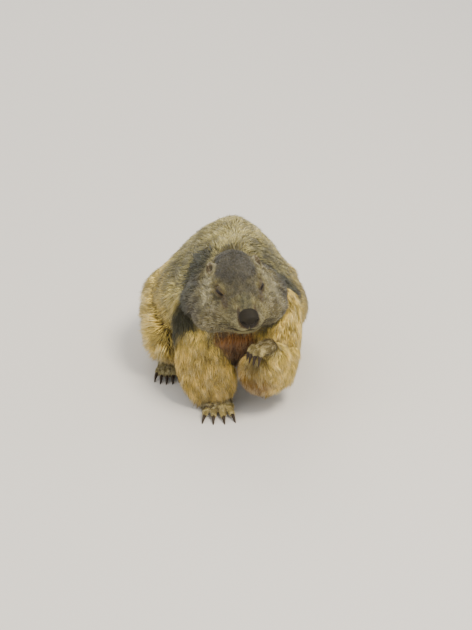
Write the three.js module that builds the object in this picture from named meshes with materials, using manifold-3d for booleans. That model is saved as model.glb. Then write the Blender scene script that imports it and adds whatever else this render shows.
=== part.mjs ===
// An alpine marmot at life size, hunched over its hind feet as it feeds: the right forepaw is planted,
// the left one is lifted to its mouth, and the tail lies on the floor behind.
// Millimetres, +Z up. The animal faces -Y and its left side is +X.

import * as THREE from "three";
import { mergeVertices } from "three/addons/utils/BufferGeometryUtils.js";
import Module from "manifold-3d";

const wasm = await Module();
wasm.setup();

// Driving dimensions, all measured over the coat
const BODY_WIDTH = 194;
const BACK_HEIGHT = 178;
const CHEEK_WIDTH = 111;
const HEAD_LENGTH = 110;
const FORELEG_WIDTH = 68;
const FOREPAW_WIDTH = 38;
const HIND_FOOT_WIDTH = 29;
const TOE_WIDTH = 9;
const CLAW_LENGTH = 13;
const TAIL_WIDTH = 50;
const NOSE_WIDTH = 21;
const EYE_DIAMETER = 12;
const EAR_HEIGHT = 19;

// The coat: how deep it stands over the core, and the size of its largest locks
const COAT_DEPTH = 12;
const LEG_COAT_DEPTH = 8;
const TAIL_COAT_DEPTH = 16;
const CHEEK_RISE = 4;
const LOCK_LENGTH = 50;
const LOCK_WIDTH = 34;
const LOCK_THICKNESS = 3.6;

// The clearance that parted nodes keep
const GAP = 0.3;

// The head's place and turn: the point between the eyes, and its yaw, nod and tilt in degrees
const BETWEEN_EYES = new THREE.Vector3(14, -105, 152.5);
const HEAD_YAW = 11.5;
const HEAD_NOD = 8;
const HEAD_TILT = -5;

const FUR_DARK = 0x5d5a52;
const FUR_GRIZZLED = 0x8f8a78;
const FUR_BUFF = 0xb9a06a;
const FUR_RUFOUS = 0xa8763a;
const SKIN_DARK = 0x2b2622;
const CLAW_HORN = 0x2e2823;
const EYE_BROWN = 0x1c130d;

const UP = new THREE.Vector3(0, 0, 1);
const FORWARD = new THREE.Vector3(0, -1, 0);
const BACKWARD = new THREE.Vector3(0, 1, 0);
const MIRROR = new THREE.Vector3(-1, 1, 1);

const degrees = THREE.MathUtils.degToRad;
const at = (x, y, z) => new THREE.Vector3(x, y, z);

// Sections and lofts

// One section of a loft: its centre, half width, and reach above and below (or before and behind) the centre.
function section(x, y, z, side, over, under) {
  return { centre: at(x, y, z), size: at(side, over, under) };
}

// A section of a level body part, given by the heights of its top and bottom.
function slice(x, y, level, side, top, bottom) {
  return section(x, y, level, side, top - level, level - bottom);
}

// The same sections on the other side of the animal.
function mirrored(sections) {
  return sections.map(({ centre, size }) => ({ centre: centre.clone().multiply(MIRROR), size }));
}

// The same sections, moved.
function moved(sections, offset) {
  return sections.map(({ centre, size }) => ({ centre: centre.clone().add(offset), size }));
}

// A smooth tube through the sections with round ends. hint points to the side called over, square holds the
// superellipse powers of the over and under halves, and pinch narrows the upper part of the over half. The
// sections stand across the path, or all of them across the direction facing where it is given.
class Loft {
  constructor(sections, options = {}) {
    const { hint = UP, square = [2, 2], pinch = 0, ends = [0.2, 0.2], facing = null } = options;
    this.sections = sections;
    this.options = options;
    this.path = new THREE.CatmullRomCurve3(sections.map((s) => s.centre));
    this.sizes = new THREE.CatmullRomCurve3(sections.map((s) => s.size));
    this.hint = hint;
    this.square = square;
    this.pinch = pinch;
    this.ends = ends;
    this.facing = facing;
  }

  // How far the section at t is drawn in by the round ends, from 0 to 1.
  closing(t) {
    const first = Math.min(t / this.ends[0], 1);
    const last = Math.min((1 - t) / this.ends[1], 1);
    const round = (share) => Math.sqrt(Math.max(0, 1 - (1 - share) ** 2));
    return round(first) * round(last);
  }

  // The point on the surface at t along the path and turn radians round it, from the animal's left over the
  // top.
  point(t, turn) {
    const along = this.facing ?? this.path.getTangent(t);
    const side = new THREE.Vector3().crossVectors(along, this.hint).normalize();
    const over = new THREE.Vector3().crossVectors(side, along).normalize();
    const size = this.sizes.getPoint(t).multiplyScalar(this.closing(t));
    const above = Math.sin(turn) > 0;
    const power = 2 / this.square[above ? 0 : 1];
    const across = Math.sign(Math.cos(turn)) * Math.abs(Math.cos(turn)) ** power;
    const height = Math.abs(Math.sin(turn)) ** power;
    const narrow = above ? 1 - this.pinch * THREE.MathUtils.smoothstep(height, 0, 0.65) : 1;
    return this.path
      .getPoint(t)
      .addScaledVector(side, across * size.x * narrow)
      .addScaledVector(over, above ? height * size.y : -height * size.z);
  }

  // The same form with its surface moved inwards by a distance, at its ends too, and by another one underneath.
  shrunk(distance, underneath = distance) {
    const last = this.sections.length - 1;
    const smaller = this.sections.map(({ centre, size }, index) => {
      const place = centre.clone();
      if (index === 0 || index === last) {
        const inwards = this.sections[index === 0 ? 1 : last - 1].centre.clone().sub(centre);
        place.addScaledVector(inwards.normalize(), distance);
      }
      return { centre: place, size: size.clone().sub(at(distance, distance, underneath)) };
    });
    return new Loft(smaller, this.options);
  }

  // The point on the surface with its two directions of travel, dt along the path and du round it, and its
  // normal, which points out.
  frame(t, turn) {
    const step = 1e-3;
    const point = this.point(t, turn);
    const dt = this.point(t + step, turn).sub(this.point(t - step, turn)).divideScalar(2 * step);
    const du = this.point(t, turn + step).sub(this.point(t, turn - step)).divideScalar(2 * step);
    const normal = new THREE.Vector3().crossVectors(dt, du).normalize();
    const outwards = point.clone().sub(this.path.getPoint(t));
    return { point, dt, du, normal: normal.dot(outwards) < 0 ? normal.negate() : normal };
  }

  // The distance round the surface at t.
  girth(t) {
    const steps = 24;
    const turns = Array.from({ length: steps + 1 }, (_, i) => this.point(t, (i / steps) * 2 * Math.PI));
    return turns.slice(1).reduce((sum, p, i) => sum + p.distanceTo(turns[i]), 0);
  }

  // The closed surface, made by moving the points of a sphere's grid.
  geometry(round, along) {
    const grid = new THREE.SphereGeometry(1, round, along);
    const places = grid.attributes.position;
    const p = new THREE.Vector3();
    for (let i = 0; i < places.count; i += 1) {
      p.fromBufferAttribute(places, i);
      const t = THREE.MathUtils.clamp((1 - p.y) / 2, 0, 1);
      this.point(t, Math.atan2(p.z, -p.x)).toArray(places.array, i * 3);
    }
    return shared(grid);
  }
}

function tube(sections, options, round, along) {
  return new Loft(sections, options).geometry(round, along);
}

// Geometry and solids

// The geometry with only its positions, each shared by the faces that meet within a thousandth of a millimetre.
function shared(geometry) {
  geometry.deleteAttribute("normal");
  geometry.deleteAttribute("uv");
  return mergeVertices(geometry, 1e-3);
}

function flipped(geometry) {
  const corners = geometry.index.array;
  for (let i = 0; i < corners.length; i += 3) {
    [corners[i], corners[i + 1]] = [corners[i + 1], corners[i]];
  }
  return geometry;
}

function moveTo(geometry, matrix) {
  const made = geometry.clone().applyMatrix4(matrix);
  return matrix.determinant() < 0 ? flipped(made) : made;
}

// The geometry grown outwards by a distance.
function grown(geometry, distance) {
  const made = geometry.clone();
  made.computeVertexNormals();
  const places = made.attributes.position;
  const p = new THREE.Vector3();
  const normal = new THREE.Vector3();
  for (let i = 0; i < places.count; i += 1) {
    normal.fromBufferAttribute(made.attributes.normal, i);
    p.fromBufferAttribute(places, i).addScaledVector(normal, distance).toArray(places.array, i * 3);
  }
  made.deleteAttribute("normal");
  return made;
}

function solidOf(geometry) {
  const mesh = new wasm.Mesh({
    numProp: 3,
    vertProperties: new Float32Array(geometry.attributes.position.array),
    triVerts: new Uint32Array(geometry.index.array),
  });
  mesh.merge();
  const solid = new wasm.Manifold(mesh);
  return solid.volume() < 0 ? solidOf(flipped(geometry.clone())) : solid;
}

function joined(geometries) {
  return geometries.map(solidOf).reduce((all, one) => all.add(one));
}

// The closed surfaces of a solid. One that bounds a sealed hollow has a volume below zero.
function surfacesOf(solid) {
  return solidOf(shared(geometryOf(solid))).decompose();
}

// The solid inside the largest of its closed surfaces. This fills a sealed hollow and drops a loose scrap.
function largest(solid) {
  return surfacesOf(solid).reduce((best, one) => (one.volume() > best.volume() ? one : best));
}

// The largest closed surface of a solid as a geometry, moved, and checked to stay one surface as it is.
function finished(solid, shift = at(0, 0, 0)) {
  const geometry = shared(geometryOf(solid).translate(shift.x, shift.y, shift.z));
  if (solidOf(geometry).decompose().length > 1) {
    return finished(largest(solidOf(geometry)));
  }
  geometry.computeVertexNormals();
  return geometry;
}

function geometryOf(solid) {
  const { vertProperties, triVerts, numProp } = solid.getMesh();
  const places = new Float32Array((vertProperties.length / numProp) * 3);
  for (let i = 0; i < places.length / 3; i += 1) {
    places.set(vertProperties.subarray(i * numProp, i * numProp + 3), i * 3);
  }
  const geometry = new THREE.BufferGeometry();
  geometry.setAttribute("position", new THREE.BufferAttribute(places, 3));
  geometry.setIndex(new THREE.BufferAttribute(new Uint32Array(triVerts), 1));
  return geometry;
}

// A box that fills everything on the side of a plane that its normal points to.
function halfSpace(point, normal) {
  const reach = 900;
  const turn = new THREE.Quaternion().setFromUnitVectors(UP, normal.clone().normalize());
  const centre = point.clone().addScaledVector(normal.clone().normalize(), reach / 2);
  const box = shared(new THREE.BoxGeometry(reach, reach, reach));
  return solidOf(moveTo(box, new THREE.Matrix4().compose(centre, turn, at(1, 1, 1))));
}

// The trunk, neck and tail

const HALF = BODY_WIDTH / 2;
const TRUNK = new Loft(
  [
    slice(6, -92, 138, 0.54 * HALF, 0.94 * BACK_HEIGHT, 110),
    slice(5, -72, 124, 0.6 * HALF, 0.975 * BACK_HEIGHT, 84),
    slice(4, -46, 106, 0.7 * HALF, 0.99 * BACK_HEIGHT, 54),
    slice(2, -16, 91, 0.86 * HALF, BACK_HEIGHT, 32),
    slice(0, 16, 79, 0.95 * HALF, BACK_HEIGHT, 14),
    slice(-1, 48, 70, 0.97 * HALF, 0.975 * BACK_HEIGHT, 3),
    slice(-2, 80, 62, 0.93 * HALF, 0.9 * BACK_HEIGHT, -5),
    slice(-3, 108, 55, 0.78 * HALF, 0.76 * BACK_HEIGHT, -6),
    slice(-3, 132, 48, 0.5 * HALF, 0.55 * BACK_HEIGHT, 2),
  ],
  { hint: at(0.075, 0, 1), square: [1.52, 2.2], pinch: 0.14, ends: [0.1, 0.16], facing: BACKWARD },
);

// The breast, that hangs between the forelegs under the neck.
const BREAST = new Loft(
  [
    section(6, -66, 108, 0.44 * HALF, 26, 20),
    section(7, -70, 88, 0.44 * HALF, 24, 20),
    section(6, -62, 66, 0.4 * HALF, 20, 22),
    section(4, -48, 46, 0.3 * HALF, 14, 20),
  ],
  { hint: FORWARD, ends: [0.3, 0.3] },
);

const TAIL_RADIUS = TAIL_WIDTH / 2;
const TAIL = new Loft(
  [
    section(-2, 96, 38, 0.8 * TAIL_RADIUS, 0.8 * TAIL_RADIUS, 0.8 * TAIL_RADIUS),
    section(-4, 124, 26, 0.88 * TAIL_RADIUS, 0.85 * TAIL_RADIUS, 0.9 * TAIL_RADIUS),
    section(-10, 152, 19, 0.98 * TAIL_RADIUS, 0.82 * TAIL_RADIUS, 0.8 * TAIL_RADIUS),
    section(-20, 184, 17, TAIL_RADIUS, 0.8 * TAIL_RADIUS, 0.72 * TAIL_RADIUS),
    section(-34, 214, 16, 0.92 * TAIL_RADIUS, 0.74 * TAIL_RADIUS, 0.68 * TAIL_RADIUS),
    section(-52, 240, 14, 0.62 * TAIL_RADIUS, 0.52 * TAIL_RADIUS, 0.6 * TAIL_RADIUS),
    section(-64, 254, 13, 0.3 * TAIL_RADIUS, 0.25 * TAIL_RADIUS, 0.3 * TAIL_RADIUS),
  ],
  { ends: [0.1, 0.12] },
);

// The head, in its own frame: the origin is between the eyes, and the nose points along -Y

const HEAD_FRAME = new THREE.Matrix4().compose(
  BETWEEN_EYES,
  new THREE.Quaternion().setFromEuler(
    new THREE.Euler(degrees(HEAD_NOD), degrees(HEAD_TILT), degrees(HEAD_YAW), "ZXY"),
  ),
  at(1, 1, 1),
);
const inHead = (geometry) => moveTo(geometry, HEAD_FRAME);

const CHEEK = CHEEK_WIDTH / 2 - CHEEK_RISE;
const SKULL = HEAD_LENGTH / 110;
const HEAD = new Loft(
  [
    slice(0, 60 * SKULL, -16, 0.66 * CHEEK, 14, -38),
    slice(0, 48 * SKULL, -19, 0.84 * CHEEK, 20, -46),
    slice(0, 33 * SKULL, -23, 0.96 * CHEEK, 23.5, -50),
    slice(0, 18 * SKULL, -27, CHEEK, 23.5, -52),
    slice(0, 4 * SKULL, -29, 0.97 * CHEEK, 20.5, -52),
    slice(0, -9 * SKULL, -26, 0.83 * CHEEK, 16, -47),
    slice(0, -21 * SKULL, -20, 0.61 * CHEEK, 11.5, -39),
    slice(0, -33 * SKULL, -15, 0.42 * CHEEK, 7.5, -30.5),
    slice(0, -43 * SKULL, -12, 0.33 * CHEEK, 3.5, -25),
    slice(0, -49 * SKULL, -11, 0.22 * CHEEK, 0, -19),
  ],
  { square: [2.1, 2.1], pinch: 0.38, ends: [0.1, 0.12], facing: FORWARD },
);

const JAW = new Loft(
  [
    slice(0, -42 * SKULL, -26, 0.19 * CHEEK, -22.5, -30.5),
    slice(0, -33 * SKULL, -27, 0.3 * CHEEK, -22.5, -35),
    slice(0, -18 * SKULL, -31, 0.42 * CHEEK, -25, -43),
    slice(0, 0, -38, 0.5 * CHEEK, -30, -54),
    slice(0, 16 * SKULL, -42, 0.42 * CHEEK, -33, -55),
  ],
  { square: [2.4, 2.1], ends: [0.22, 0.3], facing: BACKWARD },
);

const EYE_RADIUS = EYE_DIAMETER / 2;
const EYE_PLACE = at(20.2, -3, 6.4);
const EYE_LOOK = at(0.86, -0.42, 0.28).normalize();
const LID_THICKNESS = 1.7;

// The matrix that sets a thing made at the origin, facing +Z, on one side of the head.
function onHead(place, look, side) {
  const turned = new THREE.Matrix4().lookAt(look, at(0, 0, 0), UP);
  const set = new THREE.Matrix4().makeTranslation(place.x, place.y, place.z).multiply(turned);
  return side > 0 ? set : new THREE.Matrix4().makeScale(-1, 1, 1).multiply(set);
}

function eyeball(side, radius) {
  const ball = shared(new THREE.SphereGeometry(radius, 10, 7));
  return inHead(moveTo(ball, onHead(EYE_PLACE, EYE_LOOK, side)));
}

// The rim of the lids: a ring round the eye, drawn out to an almond and leaning down towards the nose.
function lids(side) {
  const ring = shared(new THREE.TorusGeometry(EYE_RADIUS + 0.3, LID_THICKNESS, 4, 12));
  const almond = new THREE.Matrix4().makeScale(1.18, 0.86, 1);
  const lean = new THREE.Matrix4().makeRotationZ(degrees(-20));
  const lift = new THREE.Matrix4().makeTranslation(0, 0, 1.6);
  const local = lift.multiply(lean).multiply(almond);
  return inHead(moveTo(moveTo(ring, local), onHead(EYE_PLACE, EYE_LOOK, side)));
}

// Where the ear stands on the head's surface, as Loft.point takes it, and how it is turned there
const EAR_SPOT = { t: 0.27, turn: degrees(50) };
const EAR_STANCE = new THREE.Euler(degrees(-30), degrees(36), degrees(52), "ZXY");

// An ear: a rounded upright shell with a cup hollowed in its front, sunk into the head at its root.
function ear(side) {
  const half = EAR_HEIGHT / 2;
  const shell = tube(
    [
      section(0, 0, -half, 0.62 * half, 4, 4),
      section(0, 0, -0.3 * half, 0.88 * half, 3.6, 4.4),
      section(0, 0.6, 0.4 * half, 0.86 * half, 3, 4),
      section(0, 1.6, half, 0.5 * half, 2.2, 2.6),
    ],
    { hint: FORWARD, ends: [0.3, 0.5] },
    12,
    6,
  );
  const cup = shared(new THREE.SphereGeometry(1, 10, 6));
  const hollow = new THREE.Matrix4().compose(
    at(0, -4.6, 0.16 * half),
    new THREE.Quaternion(),
    at(0.6 * half, 5.2, 0.66 * half),
  );
  const root = HEAD.point(EAR_SPOT.t, EAR_SPOT.turn);
  root.x = Math.abs(root.x);
  const upright = new THREE.Quaternion().setFromEuler(EAR_STANCE);
  const lift = at(0, 0, 0.35 * half).applyQuaternion(upright);
  const stance = new THREE.Matrix4().compose(root.add(lift), upright, at(1, 1, 1));
  const flip = new THREE.Matrix4().makeScale(side, 1, 1);
  const place = HEAD_FRAME.clone().multiply(flip).multiply(stance);
  return { shell: moveTo(shell, place), cup: moveTo(moveTo(cup, hollow), place) };
}

const NOSE_HALF = NOSE_WIDTH / 2;

function nosePad() {
  return inHead(
    tube(
      [
        section(0, -34, -0.5, 0.55 * NOSE_HALF, 5.5, 5),
        section(0, -41, -3, 0.98 * NOSE_HALF, 6.2, 7),
        section(0, -48, -6, NOSE_HALF, 6, 8),
        section(0, -53, -8.5, 0.7 * NOSE_HALF, 4.5, 5.5),
      ],
      { square: [2.2, 2], ends: [0.3, 0.42] },
      12,
      8,
    ),
  );
}

function nostril(side) {
  const pit = shared(new THREE.SphereGeometry(1, 10, 6));
  const place = new THREE.Matrix4().compose(
    at(side * 0.5 * NOSE_HALF, -54.4, -8),
    new THREE.Quaternion().setFromEuler(new THREE.Euler(0, degrees(side * 35), degrees(side * 30))),
    at(3, 4.2, 1.9),
  );
  return inHead(moveTo(pit, place));
}

// The cleft of the upper lip, from the nose down to the mouth.
function lipCleft() {
  const groove = shared(new THREE.SphereGeometry(1, 8, 6));
  const place = new THREE.Matrix4().compose(at(0, -49.5, -18), new THREE.Quaternion(), at(1, 4, 7));
  return inHead(moveTo(groove, place));
}

// The padded upper lip on one side, above the line of the mouth.
function upperLip(side) {
  return inHead(
    tube(
      [
        section(side * 3, -45, -16, 4.5, 5, 5.2),
        section(side * 8, -41, -17, 5, 5, 5),
        section(side * 14, -30, -19, 5, 5, 4.6),
        section(side * 18, -18, -21.5, 4.5, 4.5, 4),
      ],
      { ends: [0.3, 0.4] },
      8,
      6,
    ),
  );
}

// Legs, feet and claws

const LEG = FORELEG_WIDTH / 2;
const RIGHT_FORELEG = new Loft(
  [
    section(-28, -34, 126, 0.66 * LEG, 0.7 * LEG, 0.8 * LEG),
    section(-32, -50, 105, 0.84 * LEG, 0.84 * LEG, 0.96 * LEG),
    section(-30, -63, 84, 0.9 * LEG, 0.82 * LEG, 0.9 * LEG),
    section(-27, -72, 64, 0.93 * LEG, 0.76 * LEG, 0.82 * LEG),
    section(-24, -79, 43, 0.94 * LEG, 0.72 * LEG, 0.74 * LEG),
    section(-19, -85, 24, 0.82 * LEG, 0.6 * LEG, 0.6 * LEG),
    section(-15, -90, 8, 0.54 * LEG, 0.42 * LEG, 0.42 * LEG),
  ],
  { hint: FORWARD, ends: [0.2, 0.1] },
);
const RIGHT_ELBOW = { from: at(-30, -68, 72), along: at(0.25, -0.4, -0.9) };
const LEFT_UPPER_ARM = new Loft(
  [
    section(40, -28, 122, 0.6 * LEG, 0.62 * LEG, 0.74 * LEG),
    section(52, -47, 102, 0.8 * LEG, 0.84 * LEG, 0.96 * LEG),
    section(55, -66, 76, 0.8 * LEG, 0.8 * LEG, 0.88 * LEG),
    section(47, -80, 44, 0.86 * LEG, 0.76 * LEG, 0.8 * LEG),
    section(44, -84, 33, 0.7 * LEG, 0.6 * LEG, 0.66 * LEG),
  ],
  { hint: FORWARD, ends: [0.24, 0.24] },
);
const LEFT_FOREARM = new Loft(
  [
    section(41, -84, 40, 0.84 * LEG, 0.74 * LEG, 0.76 * LEG),
    section(42, -98, 51, 0.82 * LEG, 0.7 * LEG, 0.74 * LEG),
    section(47, -114, 72, 0.62 * LEG, 0.54 * LEG, 0.58 * LEG),
    section(48, -124, 88, 0.44 * LEG, 0.38 * LEG, 0.4 * LEG),
    section(46, -128, 95, 0.36 * LEG, 0.3 * LEG, 0.32 * LEG),
  ],
  { hint: UP, ends: [0.26, 0.16] },
);

const LEFT_REAR_SHIFT = at(-9, 26, 0);
const RIGHT_THIGH = [
  section(-40, 78, 78, 0.34 * HALF, 32, 46),
  section(-62, 48, 72, 0.36 * HALF, 38, 54),
  section(-72, 14, 63, 0.29 * HALF, 40, 46),
  section(-71, -16, 52, 0.24 * HALF, 30, 32),
  section(-66, -34, 46, 0.18 * HALF, 18, 22),
];
const RIGHT_SHANK = [
  section(-67, -24, 36, 0.13 * HALF, 14, 14),
  section(-68, 4, 30, 0.14 * HALF, 15, 16),
  section(-66, 32, 21, 0.13 * HALF, 13, 14),
  section(-66, 50, 15, 0.12 * HALF, 11, 15),
];
const thigh = (sections) => new Loft(sections, { square: [2, 2.2], ends: [0.24, 0.3] });
const shank = (sections) => new Loft(sections, { ends: [0.2, 0.3] });

// A paw made round the origin: its wrist is at the origin, its sole is below, and it points along -Y.
// Each toe is given by its root's place across the paw and its splay in degrees.
class Paw {
  constructor({ width, length, height, toes, toeLength, toeWidth, curl }) {
    Object.assign(this, { width, length, height, toes, toeLength, toeWidth, curl });
  }

  palm() {
    const half = this.width / 2;
    return tube(
      [
        slice(0, 0.14 * this.length, 0.5 * this.height, 0.56 * half, this.height, 0),
        slice(0, -0.2 * this.length, 0.45 * this.height, 0.74 * half, 0.96 * this.height, -1),
        slice(0, -0.6 * this.length, 0.4 * this.height, 0.95 * half, 0.78 * this.height, -1),
        slice(0, -0.95 * this.length, 0.34 * this.height, 0.86 * half, 0.58 * this.height, -1),
      ],
      { square: [2, 2.6], ends: [0.2, 0.22] },
      10,
      6,
    );
  }

  // Points along a toe's arch, from its root inside the palm to past its end, each as [out, down].
  arch(index, out) {
    const { across, splay, reach } = this.toes[index];
    const length = this.toeLength * reach;
    const bend = degrees(this.curl) * out;
    const forward = length * out * Math.cos(bend / 2);
    const drop = length * out * Math.sin(bend / 2);
    const turn = degrees(splay);
    const start = at(across * this.width, -0.84 * this.length, 0.42 * this.height);
    return start.add(at(Math.sin(turn) * forward, -Math.cos(turn) * forward, -drop));
  }

  toe(index) {
    const r = this.toeWidth / 2;
    return tube(
      [
        [-0.3, 0.8],
        [0.25, 0.98],
        [0.65, 1],
        [1, 0.82],
      ].map(([out, share]) => {
        const centre = this.arch(index, out);
        return section(centre.x, centre.y, centre.z, share * r, share * r, share * r);
      }),
      { ends: [0.2, 0.35] },
      6,
      4,
    );
  }

  claw(index) {
    const { splay } = this.toes[index];
    const r = 0.3 * this.toeWidth;
    const tip = this.arch(index, 1);
    const turn = degrees(splay);
    const pitch = degrees(this.curl);
    const ahead = at(Math.sin(turn) * Math.cos(pitch), -Math.cos(turn) * Math.cos(pitch), -Math.sin(pitch));
    return tube(
      [
        [-0.3, 0, 0.8],
        [0.1, 0.06, 1],
        [0.5, 0.02, 0.7],
        [0.86, -0.12, 0.34],
        [1, -0.22, 0.12],
      ].map(([out, lift, share]) => {
        const centre = tip.clone().addScaledVector(ahead, out * CLAW_LENGTH);
        const rise = lift * CLAW_LENGTH;
        return section(centre.x, centre.y, centre.z + rise, 0.8 * share * r, share * r, share * r);
      }),
      { ends: [0.15, 0.15] },
      5,
      4,
    );
  }
}

const FORE = new Paw({
  width: FOREPAW_WIDTH,
  length: 26,
  height: 15,
  toeLength: 15,
  toeWidth: TOE_WIDTH,
  curl: 24,
  toes: [
    { across: -0.33, splay: -17, reach: 0.86 },
    { across: -0.12, splay: -5, reach: 1 },
    { across: 0.11, splay: 5, reach: 1 },
    { across: 0.33, splay: 16, reach: 0.84 },
  ],
});
const HOLDING = new Paw({ ...FORE, width: 29, length: 18, height: 14, toeLength: 12, curl: 62 });
const HIND = new Paw({
  width: HIND_FOOT_WIDTH,
  length: 62,
  height: 16,
  toeLength: 16,
  toeWidth: TOE_WIDTH,
  curl: 22,
  toes: [
    { across: -0.38, splay: -9, reach: 0.72 },
    { across: -0.19, splay: -4, reach: 0.98 },
    { across: 0, splay: 0, reach: 1.05 },
    { across: 0.19, splay: 4, reach: 0.96 },
    { across: 0.37, splay: 10, reach: 0.7 },
  ],
});

function stand(x, y, z, yaw, pitch = 0, roll = 0) {
  const turn = new THREE.Euler(degrees(pitch), degrees(roll), degrees(yaw), "ZXY");
  return new THREE.Matrix4().compose(at(x, y, z), new THREE.Quaternion().setFromEuler(turn), at(1, 1, 1));
}

const PAWS = [
  { name: "forepaw_right", claw: "foreclaw_right", paw: FORE, place: stand(-12, -88, 0.6, 3) },
  { name: "forepaw_left", claw: "foreclaw_left", paw: HOLDING, place: stand(50, -127, 91, -60, 2, -10) },
  { name: "hind_foot_right", claw: "hind_claw_right", paw: HIND, place: stand(-66, 36, 0.6, -4) },
  { name: "hind_foot_left", claw: "hind_claw_left", paw: HIND, place: stand(48, 66, 0.6, 4) },
];

// The coat's locks

// Everywhere but underneath and close to the floor
const notBelow = ({ point, normal }) => normal.z > -0.72 && point.z > 12;

// Numbers from 0 to 1 that are the same at each run.
function dice(seed) {
  let state = seed;
  return () => {
    state = (state * 1664525 + 1013904223) % 4294967296;
    return state / 4294967296;
  };
}

// A lock's stations: how far along it each is, its shares of the full width and thickness, and its height
// over the core as a share of the coat that stands over it.
const LOCK_STATIONS = [
  { out: 0, wide: 0.62, thick: 0.8, height: -0.8 },
  { out: 0.36, wide: 1, thick: 1, height: 0.45 },
  { out: 0.74, wide: 0.68, thick: 0.7, height: 0.88 },
  { out: 1, wide: 0, thick: 0, height: 1.15 },
];

// One flat lock that leaves the loft's surface at (t, turn) and bends along it the way flow points.
function lock(loft, t, turn, { length, width, rise }, flow) {
  const stations = [];
  let place = { t, turn };
  let gone = 0;
  for (const { out, wide, thick, height } of LOCK_STATIONS) {
    for (; gone < out * length - 1e-6; gone += length / 20) {
      place = stepAlong(loft, place, flow, length / 20);
    }
    const { point, normal } = loft.frame(place.t, place.turn);
    const ahead = flow.clone().projectOnPlane(normal).normalize();
    stations.push({
      centre: point.addScaledVector(normal, height * rise),
      side: new THREE.Vector3().crossVectors(normal, ahead).multiplyScalar((wide * width) / 2),
      ridge: (thick * LOCK_THICKNESS * width) / LOCK_WIDTH,
      normal,
      ahead,
    });
  }
  return { piece: ridgedTube(stations), room: ridgedTube(stations.map(cleared)) };
}

// Moves a place on the loft by a distance along the flow, as far as the flow lies in the surface.
function stepAlong(loft, { t, turn }, flow, distance) {
  const { dt, du, normal } = loft.frame(t, turn);
  const ahead = flow.clone().projectOnPlane(normal).setLength(distance);
  const [a, b, c] = [dt.dot(dt), dt.dot(du), du.dot(du)];
  const [p, q] = [ahead.dot(dt), ahead.dot(du)];
  const determinant = a * c - b * b;
  const edge = 0.004;
  return {
    t: THREE.MathUtils.clamp(t + (p * c - q * b) / determinant, edge, 1 - edge),
    turn: turn + (q * a - p * b) / determinant,
  };
}

// A lock's station with the clearance all round: below and above it, beyond its thin edges, and past its tip.
function cleared({ centre, side, ridge, normal, ahead }) {
  const tip = ridge === 0;
  return {
    centre: centre.clone().addScaledVector(normal, -1.5 * GAP).addScaledVector(ahead, tip ? 10 * GAP : 0),
    side: tip ? side : side.clone().multiplyScalar(1 + (4 * GAP) / ridge),
    ridge: tip ? 0 : ridge + 3.5 * GAP,
    normal,
  };
}

// A closed tube that ends in a point, with a flat underside and a low ridge along the middle of its top.
function ridgedTube(stations) {
  const rings = stations.slice(0, -1);
  const places = rings.flatMap(({ centre, side, ridge, normal }) => [
    centre.clone().add(side),
    centre.clone().addScaledVector(normal, ridge),
    centre.clone().sub(side),
  ]);
  const tip = places.length;
  places.push(stations.at(-1).centre);
  const corners = [0, 2, 1];
  for (let first = 0; first < tip; first += 3) {
    for (let i = 0; i < 3; i += 1) {
      const [a, b] = [first + i, first + ((i + 1) % 3)];
      corners.push(...(first + 3 === tip ? [a, b, tip] : [a, b, b + 3, a, b + 3, a + 3]));
    }
  }
  const geometry = new THREE.BufferGeometry().setFromPoints(places);
  geometry.setIndex(corners);
  return geometry;
}

// Staggered rows of locks over a loft between two t, on the places that where accepts. Each comes with its
// root's place, its piece and the room that it takes.
function coat(loft, { from = 0.06, to = 0.94, scale = 1, rise, flow, seed, where = notBelow }) {
  const random = dice(seed);
  const vary = (share) => 1 + share * (random() - 0.5);
  const pitch = 1.06 * LOCK_WIDTH * scale;
  const rows = Math.max(1, Math.round(((to - from) * loft.path.getLength()) / (0.66 * LOCK_LENGTH * scale)));
  const made = [];
  for (let row = 0; row < rows; row += 1) {
    const t = from + ((to - from) * (row + 0.5)) / rows;
    const count = Math.max(4, Math.round(loft.girth(t) / pitch));
    for (let i = 0; i < count; i += 1) {
      const turn = ((i + 0.5 * (row % 2) + 0.16 * (random() - 0.5)) / count) * 2 * Math.PI;
      const start = t + (0.4 * (random() - 0.5) * (to - from)) / rows;
      const size = {
        length: LOCK_LENGTH * scale * vary(0.3),
        width: LOCK_WIDTH * scale * vary(0.12),
        rise: rise * vary(0.16),
      };
      const spot = loft.frame(start, turn);
      if (where(spot)) {
        made.push({ root: spot.point, ...lock(loft, start, turn, size, flow) });
      }
    }
  }
  return made;
}

// The nodes, in the order in which each takes its room: a later one is cut clear of those before it

const floor = halfSpace(at(0, 0, 0), UP);
const parts = [];

function finish(color, roughness = 0.9) {
  return new THREE.MeshStandardMaterial({ color, roughness, metalness: 0 });
}

// Adds a node's body: the joined pieces, less the cuts and the earlier bodies, inside the bounds. Its room is
// what later bodies stay out of.
function addNode(name, material, pieces, { cuts = [], within = [], locks = [] } = {}) {
  let body = joined(pieces).intersect(floor);
  let room = joined(pieces.map((piece) => grown(piece, GAP)));
  for (const cut of cuts) {
    body = body.subtract(solidOf(cut));
  }
  for (const { from, along } of within) {
    const start = from.clone().addScaledVector(along.clone().normalize(), GAP / 2);
    body = body.intersect(halfSpace(start, along));
    room = room.intersect(halfSpace(from, along));
  }
  for (const other of parts) {
    body = body.subtract(other.room);
  }
  const rooted = locks.filter(({ root }) =>
    within.every(({ from, along }) => root.clone().sub(from).dot(along) > 0),
  );
  parts.push({ name, material, body: largest(body), room, locks: rooted });
}

// The share of a lock that may lie in other bodies before the lock is left out
const BURIED = 0.3;

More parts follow.
